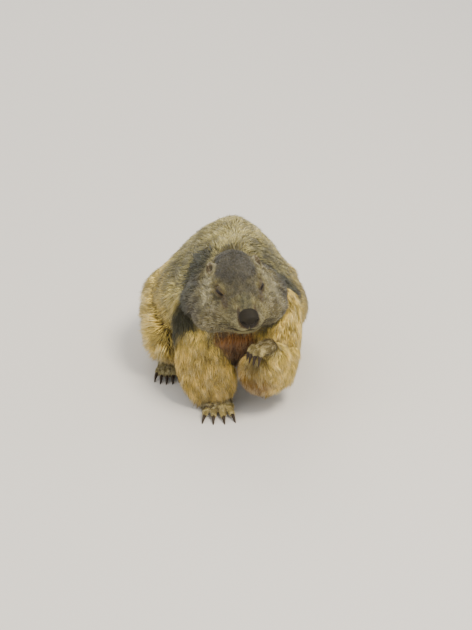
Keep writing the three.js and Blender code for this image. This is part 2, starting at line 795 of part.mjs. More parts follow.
// Joins each node's locks to its body, clear of the other bodies and of the locks that grew before. A lock
// that would seal a hollow is left out.
function growCoats() {
  const coats = [];
  for (const part of parts.filter(({ locks }) => locks.length > 0)) {
    const others = parts.filter((other) => other !== part).map(({ room }) => room);
    const bodies = others.reduce((all, one) => all.add(one));
    const taken = coats.reduce((all, one) => all.add(one), bodies);
    const kept = [];
    for (const { piece, room } of part.locks) {
      const whole = solidOf(piece);
      if (whole.intersect(bodies).volume() < BURIED * whole.volume()) {
        const body = part.body.add(whole.intersect(floor).subtract(taken));
        if (surfacesOf(body).every((surface) => surface.volume() > 0)) {
          part.body = largest(body);
          kept.push(piece, room);
        }
      }
    }
    if (kept.length > 0) {
      coats.push(joined(kept));
    }
  }
}

// The same cut, keeping the other side.
function turned({ from, along }) {
  return { from, along: along.clone().negate() };
}

const SIDES = [
  ["right", -1],
  ["left", 1],
];
const NAPE = at(0, 32 * SKULL, 0).applyMatrix4(HEAD_FRAME);
const MUZZLEWARD = FORWARD.clone().transformDirection(HEAD_FRAME);
const horn = finish(CLAW_HORN, 0.5);
const buff = finish(FUR_BUFF);
const grizzled = finish(FUR_GRIZZLED);
const dark = finish(FUR_DARK);

for (const [label, side] of SIDES) {
  addNode(`eye_${label}`, finish(EYE_BROWN, 0.15), [eyeball(side, EYE_RADIUS)]);
}
addNode("nose", finish(SKIN_DARK, 0.55), [nosePad()], { cuts: [nostril(-1), nostril(1)] });
for (const [label, side] of SIDES) {
  const { shell, cup } = ear(side);
  addNode(`ear_${label}`, grizzled, [shell], { cuts: [cup] });
}
addNode("lower_jaw", dark, [inHead(JAW.geometry(12, 7))]);
const RUFF_FLOW = at(0, 0.8, -0.62);
const ruff = coat(HEAD, {
  from: 0.16,
  to: 0.56,
  scale: 0.66,
  rise: CHEEK_RISE,
  flow: RUFF_FLOW,
  seed: 11,
  where: ({ point, normal }) => Math.abs(normal.x) > 0.5 && point.z < 4 && normal.z > -0.8,
}).map(({ root, piece, room }) => ({
  root: root.applyMatrix4(HEAD_FRAME),
  piece: inHead(piece),
  room: inHead(room),
}));
addNode("head", dark, [inHead(HEAD.geometry(24, 18)), lids(-1), lids(1), upperLip(-1), upperLip(1)], {
  cuts: [lipCleft()],
  within: [{ from: NAPE, along: MUZZLEWARD }],
  locks: ruff,
});

for (const { name, claw, paw, place } of PAWS) {
  const toes = paw.toes.map((_, index) => index);
  for (const index of toes) {
    addNode(`${claw}_${index + 1}`, horn, [moveTo(paw.claw(index), place)]);
  }
  addNode(name, buff, [paw.palm(), ...toes.map((index) => paw.toe(index))].map((g) => moveTo(g, place)));
}

const DOWNWARD = at(0, 0.1, -1);
const legCoat = (loft, seed) =>
  coat(loft, { to: 0.9, scale: 0.72, rise: LEG_COAT_DEPTH / 2, flow: DOWNWARD, seed });
const legCore = (loft) => loft.shrunk(LEG_COAT_DEPTH / 2);
const rightForeleg = legCore(RIGHT_FORELEG);
const rightLocks = legCoat(rightForeleg, 21);
const leftForearm = legCore(LEFT_FOREARM);
const leftUpperArm = legCore(LEFT_UPPER_ARM);
addNode("forearm_right", buff, [rightForeleg.geometry(10, 9)], { within: [RIGHT_ELBOW], locks: rightLocks });
addNode("upper_arm_right", buff, [rightForeleg.geometry(10, 9)], {
  within: [turned(RIGHT_ELBOW)],
  locks: rightLocks,
});
addNode("forearm_left", buff, [leftForearm.geometry(10, 7)], { locks: legCoat(leftForearm, 22) });
addNode("upper_arm_left", buff, [leftUpperArm.geometry(10, 7)], { locks: legCoat(leftUpperArm, 23) });
for (const [label, sections] of [
  ["right", RIGHT_SHANK],
  ["left", moved(mirrored(RIGHT_SHANK), LEFT_REAR_SHIFT)],
]) {
  addNode(`shank_${label}`, buff, [shank(sections).geometry(10, 6)]);
}

const BODY_FLOW = at(0, 0.9, -0.75);
const bodyCoat = (loft, seed) => coat(loft, { rise: COAT_DEPTH / 2, flow: BODY_FLOW, seed });
for (const [label, sections, seed] of [
  ["right", RIGHT_THIGH, 31],
  ["left", moved(mirrored(RIGHT_THIGH), LEFT_REAR_SHIFT), 34],
]) {
  const core = thigh(sections).shrunk(COAT_DEPTH / 2);
  addNode(`thigh_${label}`, grizzled, [core.geometry(12, 7)], { locks: bodyCoat(core, seed) });
}

const SHOULDERS = { from: at(0, -44, 104), along: at(0, -0.8, 0.6) };
const WAIST = { from: at(0, -6, 0), along: FORWARD };
const LOINS = { from: at(0, 56, 0), along: FORWARD };
const trunkCore = TRUNK.shrunk(COAT_DEPTH / 2, 0);
const trunk = trunkCore.geometry(18, 12);
const trunkLocks = bodyCoat(trunkCore, 41);
addNode("neck", grizzled, [trunk], {
  within: [SHOULDERS, { from: NAPE, along: MUZZLEWARD.clone().negate() }],
  locks: trunkLocks,
});
addNode("chest", finish(FUR_RUFOUS), [trunk, BREAST.geometry(12, 7)], {
  within: [turned(SHOULDERS), WAIST],
  locks: trunkLocks,
});
addNode("abdomen", grizzled, [trunk], { within: [turned(WAIST), LOINS], locks: trunkLocks });
addNode("rump", grizzled, [trunk], { within: [turned(LOINS)], locks: trunkLocks });

const TAIL_MIDDLE = { from: at(-18, 180, 0), along: at(0.3, -1, 0) };
const tailCore = TAIL.shrunk(TAIL_COAT_DEPTH / 2, 0);
const tailLocks = coat(tailCore, {
  to: 0.86,
  scale: 0.8,
  rise: TAIL_COAT_DEPTH / 2,
  flow: at(-0.3, 1, 0),
  seed: 51,
});
addNode("tail_base", grizzled, [tailCore.geometry(10, 10)], { within: [TAIL_MIDDLE], locks: tailLocks });
addNode("tail_end", dark, [tailCore.geometry(10, 10)], { within: [turned(TAIL_MIDDLE)], locks: tailLocks });

growCoats();

// The origin is the middle of the model's box, on the floor
const box = new THREE.Box3();
for (const { body } of parts) {
  const { min, max } = body.boundingBox();
  box.expandByPoint(at(...min)).expandByPoint(at(...max));
}
const middle = box.getCenter(new THREE.Vector3());
const toOrigin = at(-middle.x, -middle.y, -box.min.z);

const marmot = new THREE.Group();
for (const { name, material, body } of parts) {
  const mesh = new THREE.Mesh(finished(body, toOrigin), material);
  mesh.name = name;
  marmot.add(mesh);
}

export default marmot;
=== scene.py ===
"""An alpine marmot at life size, crouched as it feeds, with its coat as solid tufts.

One skin takes the place of all the solids of flesh, and tufts of hair stand on it. The sizes below are in
millimetres of the drawing frame that the solids were made in, and Place turns them into metres of the frame.
"""

import logging
import math
from dataclasses import dataclass, field, replace
from enum import Enum
from typing import Sequence

import bmesh
import bpy
import numpy as np
from mathutils import Matrix, Vector
from mathutils.kdtree import KDTree


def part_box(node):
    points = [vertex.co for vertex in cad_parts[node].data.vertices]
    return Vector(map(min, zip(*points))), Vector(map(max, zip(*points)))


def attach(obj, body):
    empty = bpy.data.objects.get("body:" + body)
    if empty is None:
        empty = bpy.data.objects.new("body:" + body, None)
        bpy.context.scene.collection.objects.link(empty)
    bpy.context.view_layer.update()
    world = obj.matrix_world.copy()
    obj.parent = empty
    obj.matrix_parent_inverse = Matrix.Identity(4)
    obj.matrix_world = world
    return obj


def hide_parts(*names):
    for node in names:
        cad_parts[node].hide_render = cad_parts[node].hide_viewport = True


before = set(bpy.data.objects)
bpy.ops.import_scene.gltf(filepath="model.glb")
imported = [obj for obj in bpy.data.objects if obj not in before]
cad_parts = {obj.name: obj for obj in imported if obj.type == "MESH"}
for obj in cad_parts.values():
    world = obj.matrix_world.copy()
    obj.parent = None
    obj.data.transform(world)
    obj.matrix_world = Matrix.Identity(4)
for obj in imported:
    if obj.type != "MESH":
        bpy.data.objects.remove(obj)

log = logging.getLogger("marmot")

Array = np.ndarray
Section = tuple[float, float, float, float, float, float]

MM = 0.001
BAKE_MAP = "OFBake"
SOLE_HEIGHT = 0.1
UP = (0.0, 0.0, 1.0)
FORWARD = (0.0, -1.0, 0.0)
BACKWARD = (0.0, 1.0, 0.0)


def linear(colour: str) -> tuple[float, float, float, float]:
    """Turns an sRGB hex colour to the linear values that a shader takes.

    Args:
        colour: Six hex digits after a hash sign.

    Returns:
        Red, green, blue and an alpha of 1.
    """
    parts = [int(colour[i : i + 2], 16) / 255 for i in (1, 3, 5)]
    return (*(c / 12.92 if c <= 0.04045 else ((c + 0.055) / 1.055) ** 2.4 for c in parts), 1.0)


def eased(value: Array, low: float, high: float) -> Array:
    """A smooth step of value from 0 at low to 1 at high; low may be the larger.

    Args:
        value: The numbers to turn.
        low: Where the step starts.
        high: Where it ends.

    Returns:
        The shares from 0 to 1.
    """
    share = np.clip((value - low) / (high - low), 0, 1)
    return share * share * (3 - 2 * share)


def unit(vectors: Array) -> Array:
    """The vectors at length 1."""
    return vectors / np.maximum(np.linalg.norm(vectors, axis=-1, keepdims=True), 1e-9)


def mirrored(points: Array) -> Array:
    """The points with those of the right side turned over to the left."""
    return points * np.where(points[:, :1] < 0, [-1, 1, 1], [1, 1, 1])


def carried(points: Array, place: Matrix) -> Array:
    """The points moved and turned by a matrix."""
    turned = np.array(place)
    return points @ turned[:3, :3].T + turned[:3, 3]


def euler(yaw: float, pitch: float, roll: float) -> Matrix:
    """A turn by degrees round Y, then round X, then round Z."""
    return (
        Matrix.Rotation(math.radians(yaw), 4, "Z")
        @ Matrix.Rotation(math.radians(pitch), 4, "X")
        @ Matrix.Rotation(math.radians(roll), 4, "Y")
    )


def along_chain(points: Array, chain: Sequence[Sequence[float]]) -> Array:
    """The distance of each point from a chain of straight stretches.

    Args:
        points: Places, one a row.
        chain: The chain's corners in order.

    Returns:
        One distance a row.
    """
    best = np.full(len(points), np.inf)
    for a, b in zip(chain, chain[1:]):
        start, run = np.array(a, float), np.array(b, float) - np.array(a, float)
        share = np.clip((points - start) @ run / (run @ run), 0, 1)
        best = np.minimum(best, np.linalg.norm(points - start - share[:, None] * run, axis=1))
    return best


def spline(knots: Array, t: Array) -> Array:
    """Places on a centripetal Catmull-Rom curve through knots, which are evenly spaced in t.

    Args:
        knots: The curve's knots, one a row.
        t: Shares of the way along, from 0 to 1.

    Returns:
        One place a row.
    """
    last = len(knots) - 1
    index = np.clip(np.floor(t * last).astype(int), 0, last - 1)
    w = (t * last - index)[:, None]
    ends = np.vstack([2 * knots[0] - knots[1], knots, 2 * knots[-1] - knots[-2]])
    p0, p1, p2, p3 = (ends[index + step] for step in range(4))

    def stretch(a: Array, b: Array) -> Array:
        """The knot spacing between two rows of knots."""
        return np.sqrt(np.linalg.norm(b - a, axis=1))[:, None]

    d1 = stretch(p1, p2)
    d1[d1 < 1e-4] = 1
    d0, d2 = stretch(p0, p1), stretch(p2, p3)
    d0, d2 = np.where(d0 < 1e-4, d1, d0), np.where(d2 < 1e-4, d1, d2)
    m1 = ((p1 - p0) / d0 - (p2 - p0) / (d0 + d1) + (p2 - p1) / d1) * d1
    m2 = ((p2 - p1) / d1 - (p3 - p1) / (d1 + d2) + (p3 - p2) / d2) * d1
    return p1 + m1 * w + (3 * (p2 - p1) - 2 * m1 - m2) * w**2 + (2 * (p1 - p2) + m1 + m2) * w**3


@dataclass(frozen=True)
class Loft:
    """A smooth tube with round ends through sections of centre, half width, reach over and reach under."""

    sections: tuple[Section, ...]
    hint: tuple[float, float, float] = UP
    square: tuple[float, float] = (2.0, 2.0)
    pinch: float = 0.0
    ends: tuple[float, float] = (0.2, 0.2)
    facing: tuple[float, float, float] | None = None

    def ahead(self, t: Array) -> Array:
        """The way along the path at shares of it."""
        path, step = np.array(self.sections)[:, :3], 1e-3
        return unit(spline(path, np.clip(t + step, 0, 1)) - spline(path, np.clip(t - step, 0, 1)))

    def points(self, t: Array, turn: Array) -> Array:
        """Places on the surface.

        Args:
            t: Shares of the way along the path.
            turn: Angles round it, from the animal's left over the top.

        Returns:
            One place a row.
        """
        knots = np.array(self.sections)
        path = knots[:, :3]
        ahead = self.ahead(t) if self.facing is None else np.tile(np.array(self.facing), (len(t), 1))
        side = unit(np.cross(ahead, np.array(self.hint)))
        over = unit(np.cross(side, ahead))
        first, last = np.minimum(t / self.ends[0], 1), np.minimum((1 - t) / self.ends[1], 1)
        closing = np.sqrt(1 - (1 - first) ** 2) * np.sqrt(1 - (1 - last) ** 2)
        size = spline(knots[:, 3:], t) * closing[:, None]
        above = np.sin(turn) > 0
        power = np.where(above, 2 / self.square[0], 2 / self.square[1])
        across = np.sign(np.cos(turn)) * np.abs(np.cos(turn)) ** power
        height = np.abs(np.sin(turn)) ** power
        narrow = np.where(above, 1 - self.pinch * eased(height, 0, 0.65), 1)
        reach = np.where(above, height * size[:, 1], -height * size[:, 2])
        return spline(path, t) + side * (across * size[:, 0] * narrow)[:, None] + over * reach[:, None]

    def shrunk(self, side: float, over: float, under: float) -> "Loft":
        """The same form drawn in by the coat's depth on its sides, over and under.

        Args:
            side: The depth of the coat on both sides.
            over: The depth above.
            under: The depth below.

        Returns:
            The smaller form.
        """
        made = [(x, y, z, a - side, b - over, c - under) for x, y, z, a, b, c in self.sections]
        return replace(self, sections=tuple(made))

    def moved(self, mirror: bool, offset: tuple[float, float, float]) -> "Loft":
        """The same form on the other side of the animal, moved.

        Args:
            mirror: Whether it goes to the other side.
            offset: How far it is moved after that.

        Returns:
            The form there.
        """
        sign = -1 if mirror else 1
        dx, dy, dz = offset
        made = [(sign * x + dx, y + dy, z + dz, a, b, c) for x, y, z, a, b, c in self.sections]
        return replace(self, sections=tuple(made))


def level(x: float, y: float, z: float, side: float, top: float, bottom: float) -> Section:
    """A section of a level form, given by the heights of its top and bottom."""
    return (x, y, z, side, top - z, z - bottom)


class Region(Enum):
    """The parts of the body whose coats differ."""

    TRUNK = 0
    BREAST = 1
    HEAD = 2
    MUZZLE = 3
    EAR = 4
    RIGHT_FORELEG = 5
    LEFT_UPPER_ARM = 6
    LEFT_FOREARM = 7
    THIGH = 8
    SHANK = 9
    PAW = 10
    RAISED_PAW = 11
    TAIL = 12


class Lie(Enum):
    """Which way the hair of a form lies."""

    BACK_AND_DOWN = 0
    ALONG = 1
    FROM_NOSE = 2
    DOWN = 3


@dataclass(frozen=True)
class Coat:
    """The hair of one region, in millimetres: its length, how far its tips stand off, and its width.

    Crowding is how much closer than on the trunk the tufts stand.
    """

    length: float
    rise: float
    width: float
    crowding: float


COATS: dict[Region, Coat] = {
    Region.TRUNK: Coat(24, 9.5, 1.3, 1.0),
    Region.BREAST: Coat(17, 6.0, 1.1, 1.2),
    Region.HEAD: Coat(11, 3.9, 0.85, 2.3),
    Region.MUZZLE: Coat(4.5, 1.3, 0.6, 3.0),
    Region.EAR: Coat(2.8, 0.6, 0.5, 4.5),
    Region.RIGHT_FORELEG: Coat(18, 8.0, 1.05, 1.5),
    Region.LEFT_UPPER_ARM: Coat(19, 7.5, 1.05, 1.4),
    Region.LEFT_FOREARM: Coat(16, 7.0, 1.0, 1.5),
    Region.THIGH: Coat(22, 10.5, 1.2, 1.1),
    Region.SHANK: Coat(14, 6.0, 1.1, 1.1),
    Region.PAW: Coat(4.0, 1.0, 0.65, 2.4),
    Region.RAISED_PAW: Coat(3.6, 0.9, 0.6, 2.6),
    Region.TAIL: Coat(34, 12, 1.35, 1.0),
}


@dataclass(frozen=True)
class Form:
    """One closed form of flesh, placed in the drawing frame, with the lie of its hair."""

    region: Region
    loft: Loft
    lie: Lie
    place: Matrix = field(default_factory=lambda: Matrix.Identity(4))
    around: int = 48
    rings: int = 40

    def sample(self, t: Array, turn: Array) -> Array:
        """The places on the form, in the drawing frame."""
        return carried(self.loft.points(t, turn), self.place)

    def build(self) -> tuple[bmesh.types.BMesh, Array, Array]:
        """Makes the form by moving the corners of a sphere.

        Returns:
            The closed mesh, its corners' places, and the way along the form at each.
        """
        made = bmesh.new()
        bmesh.ops.create_uvsphere(made, u_segments=self.around, v_segments=self.rings, radius=1)
        corners = np.array([v.co for v in made.verts])
        t = np.clip((1 - corners[:, 2]) / 2, 0, 1)
        turn = np.arctan2(corners[:, 1], corners[:, 0])
        places = self.sample(t, turn)
        ahead = self.loft.ahead(t) @ np.array(self.place)[:3, :3].T
        put_at(made, places)
        bmesh.ops.recalc_face_normals(made, faces=made.faces)
        return made, places, unit(ahead)


@dataclass(frozen=True)
class Place:
    """Turns millimetres of the drawing frame into metres of the frame."""

    shift: tuple[float, float, float]

    def metres(self, points: Array) -> Array:
        """The points in metres of the frame."""
        return (points + np.array(self.shift)) * MM

    def drawn(self, points: Array) -> Array:
        """The points of the frame in millimetres of the drawing frame."""
        return points / MM - np.array(self.shift)


@dataclass(frozen=True)
class HeadPlan:
    """The head's place, turn and forms. Its own origin is between the eyes, and its nose points along -Y."""

    between_eyes: tuple[float, float, float] = (14.0, -105.0, 152.5)
    yaw: float = 11.5
    nod: float = 8.0
    tilt: float = -5.0
    cheek: float = 51.5
    solid_eye: tuple[float, float, float] = (20.2, -3.0, 6.4)
    eye: tuple[float, float, float] = (19.3, 0.2, 1.7)
    look: tuple[float, float, float] = (0.839, -0.273, 0.47)
    slit: tuple[float, float, float] = (-0.31, -0.95, 0.0)
    eye_radius: float = 6.0
    nose_half: float = 10.5
    ear_half: float = 9.5
    ear_root: tuple[float, float] = (0.25, 36.0)
    ear_turn: tuple[float, float, float] = (52.0, -30.0, 36.0)

    def frame(self) -> Matrix:
        """The head's own frame in the drawing frame."""
        return Matrix.Translation(self.between_eyes) @ euler(self.yaw, self.nod, self.tilt)

    def local(self, points: Array) -> Array:
        """Points of the drawing frame in the head's own frame."""
        return carried(points, self.frame().inverted())

    def world(self, points: Array) -> Array:
        """Points of the head's own frame in the drawing frame."""
        return carried(points, self.frame())

    def skull(self) -> Loft:
        """The head over its core, from the nape to the end of the muzzle."""
        c = self.cheek
        sections = (
            level(0, 60, -16, 0.66 * c, 14, -38),
            level(0, 48, -19, 0.84 * c, 20, -46),
            level(0, 33, -23, 0.96 * c, 23.5, -50),
            level(0, 18, -27, c, 23.5, -52),
            level(0, 4, -29, 0.97 * c, 20.5, -52),
            level(0, -9, -26, 0.83 * c, 16, -47),
            level(0, -21, -20, 0.61 * c, 11.5, -39),
            level(0, -33, -15, 0.42 * c, 7.5, -30.5),
            level(0, -43, -12, 0.33 * c, 3.5, -25),
            level(0, -49, -11, 0.22 * c, 0, -19),
        )
        return Loft(sections, square=(2.1, 2.1), pinch=0.38, ends=(0.1, 0.12), facing=FORWARD)

    def jaw(self) -> Loft:
        """The lower jaw."""
        c = self.cheek
        sections = (
            level(0, -42, -26, 0.19 * c, -22.5, -30.5),
            level(0, -33, -27, 0.3 * c, -22.5, -35),
            level(0, -18, -31, 0.42 * c, -25, -43),
            level(0, 0, -38, 0.5 * c, -30, -54),
            level(0, 16, -42, 0.42 * c, -33, -55),
        )
        return Loft(sections, square=(2.4, 2.1), ends=(0.22, 0.3), facing=BACKWARD)

    def lip(self, side: int) -> Loft:
        """The padded upper lip on one side, 1 for the left and -1 for the right."""
        sections = (
            (side * 3, -45, -16, 4.5, 5, 5.2),
            (side * 8, -41, -17, 5, 5, 5),
            (side * 14, -30, -19, 5, 5, 4.6),
            (side * 18, -18, -21.5, 4.5, 4.5, 4),
        )
        return Loft(sections, ends=(0.3, 0.4))

    def nose(self) -> Loft:
        """The nose pad."""
        n = self.nose_half
        sections = (
            (0, -34, -0.5, 0.55 * n, 5.5, 5),
            (0, -41, -3, 0.98 * n, 6.2, 7),
            (0, -48, -6, n, 6, 8),
            (0, -53, -8.5, 0.7 * n, 4.5, 5.5),
        )
        return Loft(sections, square=(2.2, 2), ends=(0.3, 0.42))

    def ear(self) -> Loft:
        """The shell of an ear, upright on its own origin."""
        h = self.ear_half
        sections = (
            (0, 0, -h, 0.56 * h, 3.6, 3.6),
            (0, 0, -0.3 * h, 0.76 * h, 3.2, 4.0),
            (0, 0.6, 0.4 * h, 0.74 * h, 2.6, 3.6),
            (0, 1.6, h, 0.46 * h, 2.0, 2.4),
        )
        return Loft(sections, hint=FORWARD, ends=(0.3, 0.5))

    def ear_stance(self, side: int) -> Matrix:
        """Where an ear stands, in the drawing frame.

        Args:
            side: 1 for the left ear, -1 for the right.

        Returns:
            The ear's own frame.
        """
        along, up = self.ear_root
        root = self.skull().points(np.array([along]), np.array([math.radians(up)]))[0]
        root[0] = abs(root[0])
        turn = euler(*self.ear_turn)
        lift = turn @ Vector((0, 0, 0.7 * self.ear_half))
        stance = Matrix.Translation(Vector(root) + lift) @ turn
        return self.frame() @ Matrix.Diagonal((side, 1, 1, 1)) @ stance

    def eye_axes(self) -> Array:
        """The left eye's own axes as rows: along the slit towards the nose, upwards across it, and outwards."""
        out, ahead = unit(np.array(self.look)), unit(np.array(self.slit))
        return np.array([ahead, unit(np.cross(ahead, out)), out])


@dataclass(frozen=True)
class PawPlan:
    """A paw round its wrist, pointing along -Y, as the solids have it."""

    width: float
    length: float
    height: float
    toe_length: float
    curl: float
    toes: tuple[tuple[float, float, float], ...]
    place: tuple[float, float, float, float, float, float]
    slim: float
    claw_length: float
    toe_width: float = 9.0

    def frame(self) -> Matrix:
        """The paw's own frame in the drawing frame."""
        x, y, z, yaw, pitch, roll = self.place
        return Matrix.Translation((x, y, z)) @ euler(yaw, pitch, roll)

    def local(self, points: Array) -> Array:
        """Points of the drawing frame in the paw's own frame."""
        return carried(points, self.frame().inverted())

    def palm(self) -> Loft:
        """The palm from the wrist to the roots of the toes."""
        half, long, high = self.width / 2, self.length, self.height
        sections = (
            level(0, 0.14 * long, 0.5 * high, 0.56 * half, high, 0),
            level(0, -0.2 * long, 0.45 * high, 0.74 * half, 0.96 * high, -1),
            level(0, -0.6 * long, 0.4 * high, 0.95 * half, 0.78 * high, -1),
            level(0, -0.95 * long, 0.34 * high, 0.86 * half, 0.58 * high, -1),
        )
        return Loft(sections, square=(2, 2.6), ends=(0.2, 0.22))

    def arch(self, toe: int, out: float) -> Array:
        """A point of a toe's arch, out being 0 at its root and 1 at its end."""
        across, splay, reach = self.toes[toe]
        bend, turn = math.radians(self.curl) * out, math.radians(splay)
        forward = self.toe_length * reach * out * math.cos(bend / 2)
        drop = self.toe_length * reach * out * math.sin(bend / 2)
        start = np.array([across * self.width, -0.84 * self.length, 0.42 * self.height])
        return start + np.array([math.sin(turn) * forward, -math.cos(turn) * forward, -drop])

    def toe(self, toe: int) -> Loft:
        """One toe, a little wasted between its joints."""
        r = self.toe_width / 2
        shares = ((-0.3, 0.8), (0.25, 0.95), (0.65, 0.98), (1, 0.8))
        sections = tuple((*self.arch(toe, out), share * r, share * r, share * r) for out, share in shares)
        return Loft(sections, ends=(0.2, 0.35))

    def claw(self, toe: int) -> Loft:
        """One claw, arched and drawn out to a point."""
        r = 0.26 * self.toe_width
        turn, pitch = math.radians(self.toes[toe][1]), math.radians(self.curl)
        ahead = np.array(
            [math.sin(turn) * math.cos(pitch), -math.cos(turn) * math.cos(pitch), -math.sin(pitch)]
        )
        sections = []
        for out, lift, share in (
            (-0.3, 0, 0.8), (0.1, 0.06, 1), (0.5, 0.02, 0.7), (0.86, -0.12, 0.34), (1, -0.22, 0.12)
        ):
            x, y, z = self.arch(toe, 1) + ahead * out * self.claw_length
            sections.append((x, y, z + lift * self.claw_length, 0.8 * share * r, share * r, share * r))
        return Loft(tuple(sections), ends=(0.15, 0.15))


FORE_TOES = ((-0.33, -17, 0.86), (-0.12, -5, 1), (0.11, 5, 1), (0.33, 16, 0.84))
HIND_TOES = ((-0.38, -9, 0.72), (-0.19, -4, 0.98), (0, 0, 1.05), (0.19, 4, 0.96), (0.37, 10, 0.7))
PAWS: dict[str, PawPlan] = {
    "forepaw_right": PawPlan(38, 26, 15, 15, 24, FORE_TOES, (-12, -88, 0.6, 3, 0, 0), 1.2, 11),
    "forepaw_left": PawPlan(29, 18, 14, 12, 62, FORE_TOES, (50, -127, 91, -60, 2, -10), 1.6, 8.5),
    "hind_foot_right": PawPlan(29, 62, 16, 16, 22, HIND_TOES, (-66, 36, 0.6, -4, 0, 0), 1.9, 11),
    "hind_foot_left": PawPlan(29, 62, 16, 16, 22, HIND_TOES, (48, 66, 0.6, 4, 0, 0), 1.9, 11),
}
CLAW_NODES = {
    "forepaw_right": "foreclaw_right",
    "forepaw_left": "foreclaw_left",
    "hind_foot_right": "hind_claw_right",
    "hind_foot_left": "hind_claw_left",
}


@dataclass(frozen=True)
class BodyPlan:
    """The forms of trunk, legs and tail out to the tips of the coat, and how deep the coat stands on them."""

    width: float = 194.0
    height: float = 178.0
    leg: float = 34.0
    tail: float = 25.0
    left_rear: tuple[float, float, float] = (-9.0, 26.0, 0.0)

    def trunk(self) -> Loft:
        """The neck, chest, belly and rump."""
        w, h = self.width / 2, self.height
        sections = (
            level(6, -92, 138, 0.54 * w, 0.94 * h, 110),
            level(5, -72, 124, 0.6 * w, 0.975 * h, 84),
            level(4, -46, 106, 0.7 * w, 0.99 * h, 54),
            level(2, -16, 91, 0.86 * w, h, 32),
            level(0, 16, 79, 0.95 * w, h, 14),
            level(-1, 48, 70, 0.97 * w, 0.975 * h, 3),
            level(-2, 80, 62, 0.93 * w, 0.9 * h, -5),
            level(-3, 108, 55, 0.78 * w, 0.76 * h, -6),
            level(-3, 132, 48, 0.5 * w, 0.55 * h, 2),
        )
        return Loft(
            sections, hint=(0.075, 0, 1), square=(1.52, 2.2), pinch=0.14, ends=(0.1, 0.16), facing=BACKWARD
        )

    def breast(self) -> Loft:
        """The breast, that hangs between the forelegs."""
        w = self.width / 2
        sections = (
            (6, -66, 108, 0.44 * w, 26, 20),
            (7, -70, 88, 0.44 * w, 24, 20),
            (6, -62, 66, 0.4 * w, 20, 22),
            (4, -48, 46, 0.3 * w, 14, 20),
        )
        return Loft(sections, hint=FORWARD, ends=(0.3, 0.3))

    def tail_form(self) -> Loft:
        """The bushy tail."""
        r = self.tail
        sections = (
            (-2, 96, 38, 0.8 * r, 0.8 * r, 0.8 * r),
            (-4, 124, 26, 0.88 * r, 0.85 * r, 0.9 * r),
            (-10, 152, 19, 0.98 * r, 0.82 * r, 0.8 * r),
            (-20, 184, 17, r, 0.8 * r, 0.72 * r),
            (-34, 214, 16, 0.92 * r, 0.74 * r, 0.68 * r),
            (-52, 240, 14, 0.62 * r, 0.52 * r, 0.6 * r),
            (-64, 254, 13, 0.3 * r, 0.25 * r, 0.3 * r),
        )
        return Loft(sections, ends=(0.1, 0.12))

    def tail_core(self) -> Loft:
        """The tail's flesh, a thin rope inside its long hair."""
        sections = tuple(
            (x, y, z - 2, max(0.42 * a, 4), max(0.42 * b, 4), max(0.5 * c, 4))
            for x, y, z, a, b, c in self.tail_form().sections
        )
        return Loft(sections[:-1], ends=(0.1, 0.2))

    def right_foreleg(self) -> Loft:
        """The planted foreleg."""
        r = self.leg
        sections = (
            (-28, -34, 126, 0.66 * r, 0.7 * r, 0.8 * r),
            (-32, -50, 105, 0.84 * r, 0.84 * r, 0.96 * r),
            (-30, -63, 84, 0.9 * r, 0.82 * r, 0.9 * r),
            (-27, -72, 64, 0.93 * r, 0.76 * r, 0.82 * r),
            (-24, -79, 43, 0.94 * r, 0.72 * r, 0.74 * r),
            (-19, -85, 24, 0.82 * r, 0.6 * r, 0.6 * r),
            (-15, -90, 8, 0.54 * r, 0.42 * r, 0.42 * r),
        )
        return Loft(sections, hint=FORWARD, ends=(0.2, 0.1))

    def left_upper_arm(self) -> Loft:
        """The left upper arm, from the shoulder down to the elbow."""
        r = self.leg
        sections = (
            (40, -28, 122, 0.6 * r, 0.62 * r, 0.74 * r),
            (52, -47, 102, 0.8 * r, 0.84 * r, 0.96 * r),
            (55, -66, 76, 0.8 * r, 0.8 * r, 0.88 * r),
            (47, -80, 44, 0.86 * r, 0.76 * r, 0.8 * r),
            (44, -84, 33, 0.7 * r, 0.6 * r, 0.66 * r),
        )
        return Loft(sections, hint=FORWARD, ends=(0.24, 0.24))

    def left_forearm(self) -> Loft:
        """The left forearm, from the elbow up to the lifted wrist."""
        r = self.leg
        sections = (
            (41, -84, 40, 0.84 * r, 0.74 * r, 0.76 * r),
            (42, -98, 51, 0.82 * r, 0.7 * r, 0.74 * r),
            (47, -114, 72, 0.62 * r, 0.54 * r, 0.58 * r),
            (48, -124, 88, 0.44 * r, 0.38 * r, 0.4 * r),
            (46, -128, 95, 0.36 * r, 0.3 * r, 0.32 * r),
        )
        return Loft(sections, ends=(0.26, 0.16))

    def elbow_fold(self) -> Loft:
        """The loose skin in the bend of the left elbow, which joins both parts of the arm."""
        sections = (
            (58, -64, 86, 19, 17, 19),
            (56, -82, 66, 22, 17, 21),
            (53, -100, 60, 20, 14, 18),
            (50, -112, 68, 13, 10, 13),
        )
        return Loft(sections, ends=(0.3, 0.3))

    def thigh(self) -> Loft:
        """The right thigh."""
        w = self.width / 2
        sections = (
            (-40, 78, 78, 0.34 * w, 32, 46),
            (-62, 48, 72, 0.36 * w, 38, 54),
            (-72, 14, 63, 0.29 * w, 40, 46),
            (-71, -16, 52, 0.24 * w, 30, 32),
            (-66, -34, 46, 0.18 * w, 18, 22),
        )
        return Loft(sections, square=(2, 2.2), ends=(0.24, 0.3))

    def shank(self) -> Loft:
        """The right shank."""
        w = self.width / 2
        sections = (
            (-67, -24, 36, 0.13 * w, 14, 14),
            (-68, 4, 30, 0.14 * w, 15, 16),
            (-66, 32, 21, 0.13 * w, 13, 14),
            (-66, 50, 15, 0.12 * w, 11, 15),
        )
        return Loft(sections, ends=(0.2, 0.3))

